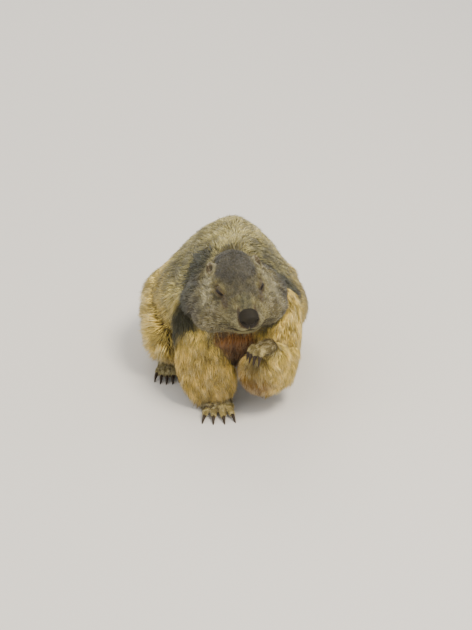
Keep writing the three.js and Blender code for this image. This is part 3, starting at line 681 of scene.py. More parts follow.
    def forms(self, head: HeadPlan) -> list[Form]:
        """All forms of flesh, drawn in by the depth of the coat that stands on each.

        Args:
            head: The head's plan.

        Returns:
            The forms in no order that matters.
        """
        here = head.frame()
        made = [
            Form(Region.TRUNK, self.trunk().shrunk(9, 9, 4), Lie.BACK_AND_DOWN, around=80, rings=64),
            Form(Region.BREAST, self.breast().shrunk(5, 5, 5), Lie.DOWN),
            Form(Region.TAIL, self.tail_core(), Lie.ALONG),
            Form(Region.HEAD, head.skull().shrunk(1.6, 1.8, 2.4), Lie.FROM_NOSE, here, 72, 72),
            Form(Region.MUZZLE, head.jaw().shrunk(0.8, 0, 1.2), Lie.FROM_NOSE, here),
            Form(Region.RIGHT_FORELEG, self.right_foreleg().shrunk(5, 5, 5), Lie.ALONG),
            Form(Region.LEFT_UPPER_ARM, self.left_upper_arm().shrunk(5.5, 5.5, 5.5), Lie.ALONG),
            Form(Region.LEFT_FOREARM, self.left_forearm().shrunk(4, 4, 4), Lie.DOWN),
            Form(Region.LEFT_FOREARM, self.elbow_fold().shrunk(4, 4, 4), Lie.DOWN),
        ]
        made += [Form(Region.MUZZLE, head.lip(side), Lie.FROM_NOSE, here) for side in (-1, 1)]
        made += [Form(Region.EAR, head.ear(), Lie.ALONG, head.ear_stance(side)) for side in (-1, 1)]
        for mirror, offset, depths in (
            (False, (0.0, 0.0, 0.0), (8, 8, 5)),
            (True, self.left_rear, (14, 12, 10)),
        ):
            thigh = self.thigh().shrunk(*depths).moved(mirror, offset)
            shank = self.shank().shrunk(3, 3, 2).moved(mirror, offset)
            made.append(Form(Region.THIGH, thigh, Lie.BACK_AND_DOWN))
            made.append(Form(Region.SHANK, shank, Lie.ALONG))
        for name, paw in PAWS.items():
            region = Region.RAISED_PAW if name == "forepaw_left" else Region.PAW
            toes = [paw.toe(i).shrunk(paw.slim, 0.6, 0) for i in range(len(paw.toes))]
            lofts = [paw.palm().shrunk(0.8, 1.2, 0)] + toes
            made += [Form(region, loft, Lie.ALONG, paw.frame(), 24, 20) for loft in lofts]
        return made


@dataclass(frozen=True)
class Lids:
    """Lids that all but meet over an eye, in millimetres of the eye's own axes."""

    dome: float = 7.0
    stretch: float = 1.18
    long: float = 8.2
    gap: float = 1.2
    sag: float = 0.022
    fold: float = 0.7
    blend: tuple[float, float] = (7.0, 10.0)

    def slit(self, ahead: Array, up: Array) -> tuple[Array, Array]:
        """How far points lie outside the slit between the lids.

        Args:
            ahead: The points' places towards the nose.
            up: Their places upwards.

        Returns:
            The distance from the slit's edge, below 0 inside it, and the height over its middle line.
        """
        over = up + self.sag * ahead**2 - 0.3
        half = self.gap * np.sqrt(np.clip(1 - (ahead / self.long) ** 2, 0, 1)) - 0.2
        past = np.maximum(np.abs(ahead) - self.long, 0)
        return np.where(past > 0, np.hypot(over, past) + 0.2, np.abs(over) - half), over

    def height(self, ahead: Array, up: Array, ground: Array, ball: float) -> Array:
        """The lids' surface over the middle of the eye.

        Args:
            ahead: The points' places towards the nose.
            up: Their places upwards.
            ground: The heights of the skin before the lids.
            ball: The eyeball's radius.

        Returns:
            The heights along the look.
        """
        reach = np.hypot(ahead / self.stretch, up)
        dome = np.sqrt(np.maximum(self.dome**2 - reach**2, 0))
        skin = (dome + ground + np.sqrt((dome - ground) ** 2 + 0.8)) / 2
        skin = skin + (dome - skin) * eased(reach, 6.0, 3.0)
        out, over = self.slit(ahead, up)
        rim = 0.45 * np.exp(-(((out - 0.5) / 0.8) ** 2))
        fold = self.fold * np.exp(-(((out - 3.1) / 0.75) ** 2)) * np.where(over > 0, 1, 0.55)
        brow = 0.9 * np.exp(-(((out - 5.6) / 1.6) ** 2)) * eased(over, 1, 5)
        inner = np.sqrt(np.maximum(ball**2 - ahead**2 - up**2, 0)) - 1.6
        return np.where(out > 0, skin + rim - fold + brow, inner)


@dataclass(frozen=True)
class Furs:
    """The hair colours of the alpine marmot, measured in daylight.

    Grizzled is the mixed grey of the back, buff the straw yellow of flanks and legs, rust the breast and elbow,
    slate the cap and also painted shade in the crease by the right foreleg and half shade on the left flank, pale the
    temples and the ring round the nose, and umber the patches by the eyes and also painted shade between the toes and
    under the raised paw.
    """

    grizzled: str = "#b6aa69"
    buff: str = "#f5d66a"
    rust: str = "#84500a"
    slate: str = "#393c2d"
    pale: str = "#b9b286"
    umber: str = "#4a3922"
    under: str = "#4f4226"
    frost: str = "#ece5c4"


class Markings:
    """Where each colour of the coat lies, as shares from 0 to 1 at each place of the skin."""

    NAMES = ("buff", "rust", "slate", "pale", "umber", "frost")
    # The right band is dark fur down the right side of the neck. Its lower end, between the right foreleg and the
    # flank, is painted shade of the crease there.
    RIGHT_BAND_AND_CREASE_SHADE = (
        (-25, -34, 154), (-32, -54, 145), (-37, -80, 138), (-46, -78, 118), (-57, -66, 98), (-61, -58, 70)
    )
    LEFT_BAND = ((31, -54, 154), (45, -42, 138), (56, -28, 122), (66, -14, 106))

    def __init__(self, head: HeadPlan) -> None:
        """Keeps the head's plan, because its markings are placed by it."""
        self.head = head

    def at(self, points: Array, weight: dict[Region, Array]) -> dict[str, Array]:
        """The shares of each marking.

        Args:
            points: Places in the drawing frame.
            weight: How much each place belongs to each region.

        Returns:
            The shares by the marking's name.
        """
        x, y, z = points.T
        near = self.head.local(points)
        folded = mirrored(near)
        side, ahead, high = folded.T
        head = weight[Region.HEAD] + weight[Region.MUZZLE] + weight[Region.EAR]
        legs = sum(weight[r] for r in (Region.RIGHT_FORELEG, Region.LEFT_UPPER_ARM, Region.LEFT_FOREARM))
        rear = weight[Region.THIGH] + weight[Region.SHANK]
        feet = weight[Region.PAW] + weight[Region.RAISED_PAW]

        flank = eased(np.abs(x - 1), 46, 80) * eased(z, 150, 105)
        buff = np.clip(0.95 * legs + 0.9 * rear * eased(z, 112, 76) + 0.5 * feet + flank * weight[Region.TRUNK], 0, 1)
        buff = np.maximum(buff, 0.35 * weight[Region.TAIL])
        buff = np.maximum(buff, 0.8 * weight[Region.BREAST] * eased(np.abs(x - 8), 14, 32))

        low = eased(z, 84, 50) * eased(x, 60, 34)
        arm = weight[Region.LEFT_FOREARM] + weight[Region.LEFT_UPPER_ARM]
        rust = 0.95 * weight[Region.BREAST] * eased(np.abs(x - 8), 34, 14)
        rust = np.maximum(rust, 0.8 * low * arm)
        rust = np.maximum(rust, 0.3 * weight[Region.RIGHT_FORELEG] * eased(z, 112, 60))
        rust = np.maximum(rust, 0.2 * rear * eased(z, 70, 30) + 0.2 * feet)
        rust = np.maximum(rust, 0.3 * weight[Region.MUZZLE] * eased(high, -34, -46))

        cap = np.hypot(side / 25, (ahead - 27) / 43)
        rim = head * eased(side, 31, 43) * eased(ahead, -16, 6)
        brow = eased(side, 27, 12) * eased(ahead, -34, -20) * eased(high, -8, 4)
        bridge = eased(side, 13, 5) * eased(ahead, -46, -34) * eased(ahead, 0, -14)
        right = along_chain(points, self.RIGHT_BAND_AND_CREASE_SHADE)
        left = along_chain(points, self.LEFT_BAND)
        left = left + 4 * eased(x, 54, 76) - 3
        # The mantle is darker grizzled fur over the shoulders. Where it reaches over the left flank and thigh, it is
        # also painted half shade.
        mantle_and_flank_shade = np.minimum(
            along_chain(points, ((-30, -26, 152), (-48, -8, 132), (-60, 4, 108))),
            along_chain(points, ((32, -24, 152), (54, -6, 130), (70, 8, 104), (80, 40, 92))),
        )
        outer = 6 * weight[Region.THIGH] + 9 * weight[Region.LEFT_UPPER_ARM]
        slate = np.maximum(eased(cap, 1.15, 0.75) * eased(high, -12, 2), 0.86 * brow * head)
        slate = np.maximum(slate, 0.75 * bridge * head)
        slate = np.maximum(slate, 0.46 * head)
        slate = np.maximum(slate, 0.9 * rim)
        over = along_chain(near, ((0, -30, 7), (0, -38, 5), (0, -47, 1)))
        slate = np.maximum(slate, 0.84 * eased(over, 11, 5) * head)
        # The bands are slate fur, and the lower end of the right band is painted crease shade by the right foreleg.
        slate = np.maximum(slate, 0.97 * eased(np.minimum(right - 4 + 7 * eased(z, 98, 66), left) + outer, 20, 6))
        slate = np.maximum(slate, 0.55 * eased(mantle_and_flank_shade, 40, 12) * (weight[Region.TRUNK] + 0.7 * weight[Region.THIGH]))
        slate = np.maximum(slate, 0.85 * weight[Region.TAIL] * eased(y, 170, 232))

        temple = along_chain(folded, ((25, 34, 12), (33, 16, 0), (38, 2, -14)))
        ring = np.linalg.norm(near - np.array([0, -44, -7]), axis=1)
        pale = np.maximum(0.7 * eased(temple, 9, 3), 0.5 * eased(ring, 18, 14) * eased(over, 7, 12)) * head
        pale = np.maximum(pale, (0.3 + 0.35 * eased(y, -60, -20)) * feet)

        eyes = along_chain(folded, ((23, 6, 3), (21, -6, 2.5), (19, -13, 0), (17, -20, -4)))
        cheek = along_chain(folded, ((26, -18, -16), (42, 0, -34)))
        fringe = eased(side, 22, 40) * eased(high, -14, -34)
        umber = np.maximum(0.85 * eased(eyes, 6.5, 2.5), 0.5 * eased(cheek, 15, 5)) * head
        umber = np.maximum(umber, (0.32 + 0.22 * fringe) * head)
        pad = along_chain(near, ((0, -41, -2), (0, -50, -7)))
        umber = np.maximum(umber, 0.95 * eased(pad, 12.6, 11.4))
        umber = umber * (1 - 0.9 * eased(over, 10, 6))
        own = (folded - np.array(self.head.eye)) @ self.head.eye_axes().T
        lids = eased(np.hypot(own[:, 0] / 1.6, own[:, 1]), 6.5, 3.5) * (np.abs(own[:, 2] - 3) < 8)
        umber = np.maximum(umber, 0.8 * lids * head)
        umber = np.maximum(umber, self.paws(points, weight))
        # Painted shade on the left forearm, in the hollow under the raised paw.
        shade_under_raised_paw = along_chain(points, ((30, -119, 71), (37, -127, 83)))
        umber = np.maximum(umber, 0.65 * eased(shade_under_raised_paw, 12, 4) * weight[Region.LEFT_FOREARM])

        frost = 0.6 + 0.3 * head * eased(side, 18, 30) - 0.65 * slate - 0.35 * weight[Region.BREAST] - 0.15 * feet
        frost = frost + 0.4 * weight[Region.LEFT_UPPER_ARM] + 0.3 * rear + 0.35 * feet - 0.6 * head * eased(eyes, 8, 3)
        for sign in (-1, 1):
            ear = self.in_ear(points, sign)
            cup = (ear[:, 1] < 1.8) * eased(np.hypot(ear[:, 0] / 0.6, ear[:, 2] - 1), 9.5, 7)
            own = weight[Region.EAR] * (sign * near[:, 0] > 0)
            umber = np.maximum(umber, own * np.where(ear[:, 1] < 1.8, 0.9 * cup, 0.5))
            pale = np.maximum(pale, 0.9 * own * (ear[:, 1] < 1.8) * (1 - cup))
        frost = frost - eased(along_chain(near, ((0, -41, -2), (0, -50, -7))), 14, 11.5)
        values = (buff, rust, slate, pale, umber, np.clip(frost, 0, 1))
        return dict(zip(self.NAMES, values))

    def in_ear(self, points: Array, side: int) -> Array:
        """Points of the drawing frame in an ear's own frame, 1 for the left ear and -1 for the right."""
        return carried(points, self.head.ear_stance(side).inverted())

    def paws(self, points: Array, weight: dict[Region, Array]) -> Array:
        """How dark the paws are: their soles, painted shade in the clefts between the toes, and the palm of the raised
        one.

        Args:
            points: Places in the drawing frame.
            weight: How much each place belongs to each region.

        Returns:
            The shares of the dark marking.
        """
        made = np.zeros(len(points))
        for name, paw in PAWS.items():
            raised = name == "forepaw_left"
            region = weight[Region.RAISED_PAW] if raised else weight[Region.PAW]
            near = paw.local(points)
            middle = np.array([0, -0.6 * paw.length, 0])
            close = region * (np.linalg.norm(near - middle, axis=1) < 1.6 * paw.length + 20)
            chains = [along_chain(near, [paw.arch(toe, out) for out in (0, 0.5, 1)]) for toe in range(len(paw.toes))]
            # Painted shade in the clefts between the toes: dark wherever the skin lies away from the middle line of
            # every toe.
            painted_cleft_shade = eased(np.min(chains, axis=0), 0.3 * paw.toe_width, 0.5 * paw.toe_width)
            painted_cleft_shade = painted_cleft_shade * (near[:, 1] < -0.8 * paw.length)
            depth = 0.6 if raised else 0.0
            back = depth * eased(near[:, 1], -1.1 * paw.length, -0.6 * paw.length)
            made = np.maximum(made, close * np.maximum(np.maximum(0.8 * painted_cleft_shade, back), 0.6 * eased(near[:, 2], 4, 1)))
        return made


def put(tree: bpy.types.NodeTree, kind: str, inputs: dict | None = None, **settings: object) -> bpy.types.Node:
    """Adds a node with its settings and links.

    Args:
        tree: The tree that it goes into.
        kind: Its type's name without the leading ShaderNode.
        inputs: Values or sockets by the input's name or number.
        **settings: The node's own properties.

    Returns:
        The node.
    """
    made = tree.nodes.new("ShaderNode" + kind)
    for name, value in settings.items():
        setattr(made, name, value)
    for key, value in (inputs or {}).items():
        if isinstance(value, bpy.types.NodeSocket):
            tree.links.new(value, made.inputs[key])
        else:
            made.inputs[key].default_value = value
    return made


MIX_SHARE, MIX_FIRST, MIX_SECOND, MIX_RESULT = 0, 6, 7, 2


def blended(
    tree: bpy.types.NodeTree, share: object, first: object, second: object, mode: str = "MIX"
) -> bpy.types.NodeSocket:
    """Mixes two colours.

    Args:
        tree: The material's tree.
        share: The second colour's share, a value or a socket.
        first: The first colour.
        second: The second colour.
        mode: How they mix.

    Returns:
        The mixed colour's socket.
    """
    inputs = {MIX_SHARE: share, MIX_FIRST: first, MIX_SECOND: second}
    return put(tree, "Mix", inputs, data_type="RGBA", blend_type=mode).outputs[MIX_RESULT]


def shader(name: str, **values: object) -> tuple[bpy.types.Material, bpy.types.NodeTree, bpy.types.Node]:
    """A new material with one shader.

    Args:
        name: What the real material is.
        **values: The shader's inputs, with underscores for the spaces in their names.

    Returns:
        The material, its tree and its shader.
    """
    material = bpy.data.materials.new(name)
    material.use_nodes = True
    tree = material.node_tree
    body = tree.nodes["Principled BSDF"]
    for key, value in values.items():
        body.inputs[key.replace("_", " ")].default_value = value
    return material, tree, body


@dataclass(frozen=True)
class Hair:
    """Hair keratin, dyed by the animal's own markings, which is dull and scatters light at grazing angles."""

    furs: Furs
    roughness: float = 0.72
    strand: float = 0.6
    parting: float = 15.0

    def marked(self, tree: bpy.types.NodeTree) -> bpy.types.NodeSocket:
        """The colour that the markings give, from the attributes that skin and coat carry alike."""
        colour: object = linear(self.furs.grizzled)
        for name in Markings.NAMES[:-1]:
            share = put(tree, "Attribute", attribute_name=name).outputs["Fac"]
            colour = blended(tree, share, colour, linear(getattr(self.furs, name)))
        place = put(tree, "TexCoord").outputs["Object"]
        patches = put(tree, "TexNoise", {"Vector": place, "Scale": 1 / (self.parting * MM), "Detail": 2.0})
        limits = {"From Min": 0.35, "From Max": 0.65, "To Min": 0.78, "To Max": 1.26}
        depth = put(tree, "MapRange", {"Value": patches.outputs["Fac"], **limits})
        grey = put(tree, "CombineColor", {0: depth.outputs[0], 1: depth.outputs[0], 2: depth.outputs[0]})
        return blended(tree, 1.0, colour, grey.outputs[0], "MULTIPLY")

    def coat(self) -> bpy.types.Material:
        """The tufts: dark at the root, of their marking's colour along the shaft, and some with a frosted tip."""
        material, tree, body = shader(
            "hair_keratin_in_tufts", Roughness=self.roughness, Specular_IOR_Level=0.28, Sheen_Weight=0.12
        )
        along = put(tree, "Attribute", attribute_name="along").outputs["Fac"]
        chance = put(tree, "Attribute", attribute_name="chance").outputs["Fac"]
        frost = put(tree, "Attribute", attribute_name="frost").outputs["Fac"]
        root = {"Value": along, "From Min": 0.05, "From Max": 0.6}
        shaft = put(tree, "MapRange", root, interpolation_type="SMOOTHSTEP")
        limits = {"From Min": 0.1, "From Max": 0.9, "To Min": 0.4, "To Max": 1.4}
        tone = put(tree, "MapRange", {"Value": chance, **limits})
        grey = put(tree, "CombineColor", {0: tone.outputs[0], 1: tone.outputs[0], 2: tone.outputs[0]})
        varied = blended(tree, 1.0, self.marked(tree), grey.outputs[0], "MULTIPLY")
        pale = put(tree, "Attribute", attribute_name="pale").outputs["Fac"]
        clear = put(tree, "Math", {0: shaft.outputs[0], 1: pale}, operation="MAXIMUM").outputs[0]
        rooted = blended(tree, clear, linear(self.furs.under), varied)
        tip = put(tree, "MapRange", {"Value": along, "From Min": 0.45, "From Max": 1.0}).outputs[0]
        some = put(tree, "MapRange", {"Value": chance, "From Min": 0.5, "From Max": 0.75}).outputs[0]
        share = put(tree, "Math", {0: tip, 1: some}, operation="MULTIPLY").outputs[0]
        share = put(tree, "Math", {0: share, 1: frost}, operation="MULTIPLY").outputs[0]
        tree.links.new(blended(tree, share, rooted, linear(self.furs.frost)), body.inputs["Base Color"])
        return material

    def skin(self) -> bpy.types.Material:
        """The short hair that lies flat on the skin: the same markings, broken up by fine strands of bump."""
        material, tree, body = shader(
            "short_flat_hair_on_skin", Roughness=0.8, Specular_IOR_Level=0.25, Sheen_Weight=0.1
        )
        place = put(tree, "TexCoord").outputs["Object"]
        fine = put(tree, "TexNoise", {"Vector": place, "Scale": 1 / (self.strand * MM), "Detail": 3.0})
        broad = put(tree, "TexNoise", {"Vector": place, "Scale": 1 / (6 * self.strand * MM), "Detail": 2.0})
        limits = {"From Min": 0.3, "From Max": 0.7, "To Min": 0.45, "To Max": 0.95}
        shade = put(tree, "MapRange", {"Value": fine.outputs["Fac"], **limits})
        grey = put(tree, "CombineColor", {0: shade.outputs[0], 1: shade.outputs[0], 2: shade.outputs[0]})
        colour = blended(tree, 1.0, self.marked(tree), grey.outputs[0], "MULTIPLY")
        bare = put(tree, "Attribute", attribute_name="bare").outputs["Fac"]
        colour = blended(tree, bare, colour, linear("#1d1610"))
        both = put(tree, "Math", {0: fine.outputs["Fac"], 1: broad.outputs["Fac"]}, operation="ADD").outputs[0]
        bump = put(tree, "Bump", {"Height": both, "Strength": 0.5, "Distance": 0.6 * MM})
        tree.links.new(colour, body.inputs["Base Color"])
        tree.links.new(bump.outputs["Normal"], body.inputs["Normal"])
        return material


@dataclass(frozen=True)
class NoseSkin:
    """Bare rhinarium skin, black-brown, finely grained and faintly moist."""

    colour: str = "#120f0a"
    worn: str = "#252013"
    grain: float = 0.55

    def material(self) -> bpy.types.Material:
        """Grained skin that shines a little between its grains."""
        made, tree, body = shader("moist_grained_nose_skin", Roughness=0.6, Specular_IOR_Level=0.18)
        place = put(tree, "TexCoord").outputs["Object"]
        grains = put(tree, "TexVoronoi", {"Vector": place, "Scale": 1 / (self.grain * MM)}, feature="F1")
        patches = put(tree, "TexNoise", {"Vector": place, "Scale": 1 / (5 * MM), "Detail": 3.0})
        tree.links.new(
            blended(tree, patches.outputs["Fac"], linear(self.colour), linear(self.worn)), body.inputs["Base Color"]
        )
        bump = put(
            tree, "Bump", {"Height": grains.outputs["Distance"], "Strength": 0.45, "Distance": 0.25 * MM}, invert=True
        )
        tree.links.new(bump.outputs["Normal"], body.inputs["Normal"])
        return made


@dataclass(frozen=True)
class ClawHorn:
    """Claw keratin, dark horn that is ground paler and duller towards the point."""

    colour: str = "#201a14"
    streak: str = "#43372a"

    def material(self) -> bpy.types.Material:
        """Smooth horn with faint streaks."""
        made, tree, body = shader("dark_claw_horn", Roughness=0.55, Specular_IOR_Level=0.22)
        place = put(tree, "TexCoord").outputs["Object"]
        streaks = put(tree, "TexNoise", {"Vector": place, "Scale": 1 / (1.6 * MM), "Detail": 4.0, "Distortion": 0.6})
        tree.links.new(
            blended(tree, streaks.outputs["Fac"], linear(self.colour), linear(self.streak)), body.inputs["Base Color"]
        )
        bump = put(tree, "Bump", {"Height": streaks.outputs["Fac"], "Strength": 0.2, "Distance": 0.2 * MM})
        tree.links.new(bump.outputs["Normal"], body.inputs["Normal"])
        return made


@dataclass(frozen=True)
class WetEye:
    """A wet eye: a dark brown iris under clear cornea, so that it reads black with one crisp glint."""

    iris: str = "#2a170b"
    rim: str = "#120a06"

    def material(self) -> bpy.types.Material:
        """Dark iris under a glossy coat."""
        made, tree, body = shader(
            "wet_dark_brown_eye", Roughness=0.2, Specular_IOR_Level=0.3, Coat_Weight=0.5, Coat_Roughness=0.06
        )
        place = put(tree, "TexCoord").outputs["Object"]
        fibres = put(tree, "TexNoise", {"Vector": place, "Scale": 1 / (0.7 * MM), "Detail": 4.0})
        tree.links.new(
            blended(tree, fibres.outputs["Fac"], linear(self.rim), linear(self.iris)), body.inputs["Base Color"]
        )
        return made


@dataclass(frozen=True)
class WhiskerHair:
    """Whisker keratin, near black and smoother than the coat, so that each hair keeps a thin line of light."""

    colour: str = "#0d0b08"
    worn: str = "#2e2820"
    stretch: float = 12.0

    def material(self) -> bpy.types.Material:
        """Dark hair that is paler in stretches of its length."""
        made, tree, body = shader("stiff_whisker_hair", Roughness=0.4)
        place = put(tree, "TexCoord").outputs["Object"]
        tone = put(tree, "TexNoise", {"Vector": place, "Scale": 1 / (self.stretch * MM)}).outputs["Fac"]
        tree.links.new(blended(tree, tone, linear(self.colour), linear(self.worn)), body.inputs["Base Color"])
        return made


def relaxed(values: Array, edges: Array, rounds: int) -> Array:
    """Spreads values over a mesh, each corner taking the mean of itself and its neighbours.

    Args:
        values: One row a corner.
        edges: The mesh's edges as pairs of corners.
        rounds: How many times.

    Returns:
        The spread values.
    """
    made = values.astype(float)
    count = np.bincount(edges.ravel(), minlength=len(made)) + 1.0
    for _ in range(rounds):
        columns = []
        for column in made.T:
            total = column + np.bincount(edges[:, 0], column[edges[:, 1]], len(made))
            columns.append((total + np.bincount(edges[:, 1], column[edges[:, 0]], len(made))) / count)
        made = np.column_stack(columns)
    return made


def taken(items: bpy.types.bpy_prop_collection, name: str, width: int, kind: type = float) -> Array:
    """Reads one property of all items of a mesh.

    Args:
        items: The mesh's corners, edges, faces or the like.
        name: The property.
        width: How many numbers each item has.
        kind: The numbers' kind.

    Returns:
        One row an item.
    """
    values = np.empty(len(items) * width, kind)
    items.foreach_get(name, values)
    return values.reshape(-1, width)


def edges_of(mesh: bpy.types.Mesh) -> Array:
    """The edges of a mesh as pairs of corners."""
    return taken(mesh.edges, "vertices", 2, int)


def normals_of(mesh: bpy.types.Mesh) -> Array:
    """The normals at a mesh's corners."""
    return taken(mesh.vertex_normals, "vector", 3)


def corners_of(mesh: bpy.types.Mesh) -> Array:
    """The places of a mesh's corners."""
    return taken(mesh.vertices, "co", 3)


def marked_on(mesh: bpy.types.Mesh, name: str, values: Array) -> None:
    """Stores one number a corner on a mesh, for its material to read."""
    mesh.attributes.new(name, "FLOAT", "POINT").data.foreach_set("value", values.astype(np.float32))


def put_at(made: bmesh.types.BMesh, places: Array) -> None:
    """Moves the corners of a bmesh to new places."""
    for corner, place in zip(made.verts, places):
        corner.co = place


def meshed(made: bmesh.types.BMesh, name: str = "piece") -> bpy.types.Mesh:
    """Turns a bmesh into a mesh and frees it."""
    mesh = bpy.data.meshes.new(name)
    made.to_mesh(mesh)
    made.free()
    return mesh


def add_to(joined: bmesh.types.BMesh, made: bmesh.types.BMesh) -> None:
    """Adds one bmesh to another and frees it."""
    holder = meshed(made)
    joined.from_mesh(holder)
    bpy.data.meshes.remove(holder)


def shown(name: str, mesh: bpy.types.Mesh, material: bpy.types.Material) -> bpy.types.Object:
    """Puts a mesh into the scene as a piece that rides on the animal.

    Args:
        name: The piece's name.
        mesh: Its mesh, in metres of the frame.
        material: Its finish.

    Returns:
        The object.
    """
    made = bpy.data.objects.new(name, mesh)
    bpy.context.scene.collection.objects.link(made)
    mesh.materials.clear()
    mesh.materials.append(material)
    mesh.shade_smooth()
    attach(made, "root")
    return made


class Skin:
    """The one skin of the animal, with what its hair needs to know at each corner."""

    VOXEL = 1.7
    EYE_ROUNDS = (13.5, 11.0)
    MOUTH_ROUNDS = (27.0,)
    FILL_ROUNDS = (420, 160, 60)
    FILLED = {
        Region.TRUNK: 1.0, Region.BREAST: 1.0, Region.THIGH: 1.0, Region.RIGHT_FORELEG: 0.9,
        Region.LEFT_UPPER_ARM: 1.0, Region.LEFT_FOREARM: 0.95, Region.SHANK: 0.7, Region.HEAD: 1.0, Region.TAIL: 1.0,
        Region.PAW: 0.1, Region.RAISED_PAW: 0.1,
    }
    MOUTH = (
        (0, -44.2, -22.3), (6, -43.2, -22.8), (11, -39.6, -24), (15, -34.8, -25), (19, -29.5, -26.5), (22, -25, -28.5)
    )
    CLEFT = ((0, -48.9, -12), (0, -46.6, -18), (0, -44.2, -22.3))

    def __init__(self, place: Place, head: HeadPlan, body: BodyPlan, lids: Lids) -> None:
        """Keeps the plans that the skin is made from."""
        self.place = place
        self.head = head
        self.body = body
        self.lids = lids

    def build(self) -> bpy.types.Object:
        """Joins all forms into one closed surface, shapes its folds, and reads the lie of the hair on it.

        Returns:
            The skin as a piece.
        """
        joined, sources, ways, regions = bmesh.new(), [], [], []
        for form in self.body.forms(self.head):
            made, places, ahead = form.build()
            add_to(joined, made)
            sources.append(places)
            ways.append(self.lie(form, places, ahead))
            regions.append(np.full(len(places), form.region.value))
        self.sources, self.ways, self.regions = np.vstack(sources), np.vstack(ways), np.concatenate(regions)
        surface = self.remeshed(meshed(joined, "forms"))
        self.refine(surface)
        self.sculpt(surface)
        mesh = meshed(surface, "skin")
        self.read(mesh)
        mesh.vertices.foreach_set("co", self.place.metres(corners_of(mesh)).ravel())
        mesh.update()
        return self.finish(mesh)

    def lie(self, form: Form, places: Array, ahead: Array) -> Array:
        """The way the hair lies at each corner of a form.

        Args:
            form: The form.
            places: Its corners.
            ahead: The way along it at each corner.

        Returns:
            One direction a row.
        """
        if form.lie is Lie.ALONG:
            return ahead
        if form.lie is Lie.DOWN:
            return np.tile(np.array([0.12, -0.15, -1.0]), (len(places), 1))
        if form.lie is Lie.BACK_AND_DOWN:
            spread = 0.35 * np.sign(places[:, 0]) * eased(np.abs(places[:, 0]), 0, 60)
            return unit(np.column_stack([spread, np.full(len(places), 0.9), np.full(len(places), -0.75)]))
        near = self.head.local(places)
        way = unit(near - np.array([0, -62, -14])) + np.array([0, 0.5, -0.15])
        drop = (eased(near[:, 1], 0, 34) * eased(near[:, 2], 8, -14))[:, None]
        way = unit(way) * (1 - 0.75 * drop) + np.array([0, 0.25, -1.0]) * 0.75 * drop
        turned = np.array(self.head.frame())[:3, :3]
        return unit(way @ turned.T)

    def remeshed(self, raw: bpy.types.Mesh) -> bmesh.types.BMesh:
        """One closed surface round overlapping forms.

        Args:
            raw: The forms, in millimetres.

        Returns:
            Their common surface.
        """
        holder = bpy.data.objects.new("forms", raw)
        bpy.context.scene.collection.objects.link(holder)
        change = holder.modifiers.new("one_surface", "REMESH")
        change.mode = "VOXEL"
        change.voxel_size = self.VOXEL
        done = holder.evaluated_get(bpy.context.evaluated_depsgraph_get())
        mesh = bpy.data.meshes.new_from_object(done)
        self.settle(mesh)
        made = bmesh.new()
        made.from_mesh(mesh)
        bpy.data.objects.remove(holder)
        bpy.data.meshes.remove(raw)
        bpy.data.meshes.remove(mesh)
        return made

    def nearest(self, places: Array) -> Array:
        """The number of the form's corner that is nearest to each place."""
        tree = KDTree(len(self.sources))
        for index, spot in enumerate(self.sources):
            tree.insert(spot, index)
        tree.balance()
        return np.array([tree.find(spot)[1] for spot in places])

    def settle(self, mesh: bpy.types.Mesh) -> None:
        """Fills the creases where forms meet, as flesh and loose skin do, and leaves what bulges alone.

        Args:
            mesh: The common surface, which is changed.
        """
        places, edges = corners_of(mesh), edges_of(mesh)
        share = np.zeros(len(Region))
        for region, filled in self.FILLED.items():
            share[region.value] = filled
        region = self.regions[self.nearest(places)]
        face = np.where(region == Region.HEAD.value, eased(self.head.local(places)[:, 1], 6, 30), 1)
        share = np.maximum(share[region] * face, 0.9 * self.wrists(places))
        share = relaxed(share[:, None], edges, 10)[:, 0]
        for rounds in self.FILL_ROUNDS:
            mesh.update()
            normals = normals_of(mesh)
            soft = relaxed(places, edges, rounds)
            rise = np.clip(((soft - places) * normals).sum(1), 0, 12) * share
            places = places + normals * rise[:, None]
            mesh.vertices.foreach_set("co", places.ravel())
        gentle = relaxed(places, edges, 3)
        detail = eased(np.linalg.norm(self.head.local(places) - np.array([0, -34, -10]), axis=1), 34, 24)
        places = gentle + (relaxed(places, edges, 1) - gentle) * detail[:, None]
        mesh.vertices.foreach_set("co", places.ravel())
        mesh.update()

    def in_eye(self, places: Array, side: int) -> Array:
        """Places of the drawing frame in an eye's own axes.

        Args:
            places: The places.
            side: 1 for the left eye, -1 for the right.

        Returns:
            Along the slit towards the nose, upwards across it and outwards, one place a row.
        """
        folded = self.head.local(places) * np.array([side, 1, 1])
        return (folded - np.array(self.head.eye)) @ self.head.eye_axes().T

    def refine(self, surface: bmesh.types.BMesh) -> None:
        """Divides the faces round the mouth and the eyes, so that they can hold its line and the lids.

        Args:
            surface: The skin in the drawing frame.
        """
        mouth = np.array([0, -40, -22])
        for reach in self.MOUTH_ROUNDS:
            near = self.head.local(np.array([v.co for v in surface.verts]))
            self.divide(surface, np.linalg.norm(near - mouth, axis=1) < reach)
        for side in (-1, 1):
            for reach in self.EYE_ROUNDS:
                places = self.in_eye(np.array([v.co for v in surface.verts]), side)
                self.divide(surface, (np.linalg.norm(places[:, :2], axis=1) < reach) & (np.abs(places[:, 2] - 3) < 9))
        bmesh.ops.triangulate(surface, faces=[f for f in surface.faces if len(f.verts) > 4])

    @staticmethod
    def divide(surface: bmesh.types.BMesh, near: Array) -> None:
        """Divides each edge whose ends are both near, once."""
        edges = [e for e in surface.edges if near[e.verts[0].index] and near[e.verts[1].index]]
        bmesh.ops.subdivide_edges(surface, edges=edges, cuts=1, use_grid_fill=True)
        surface.verts.index_update()

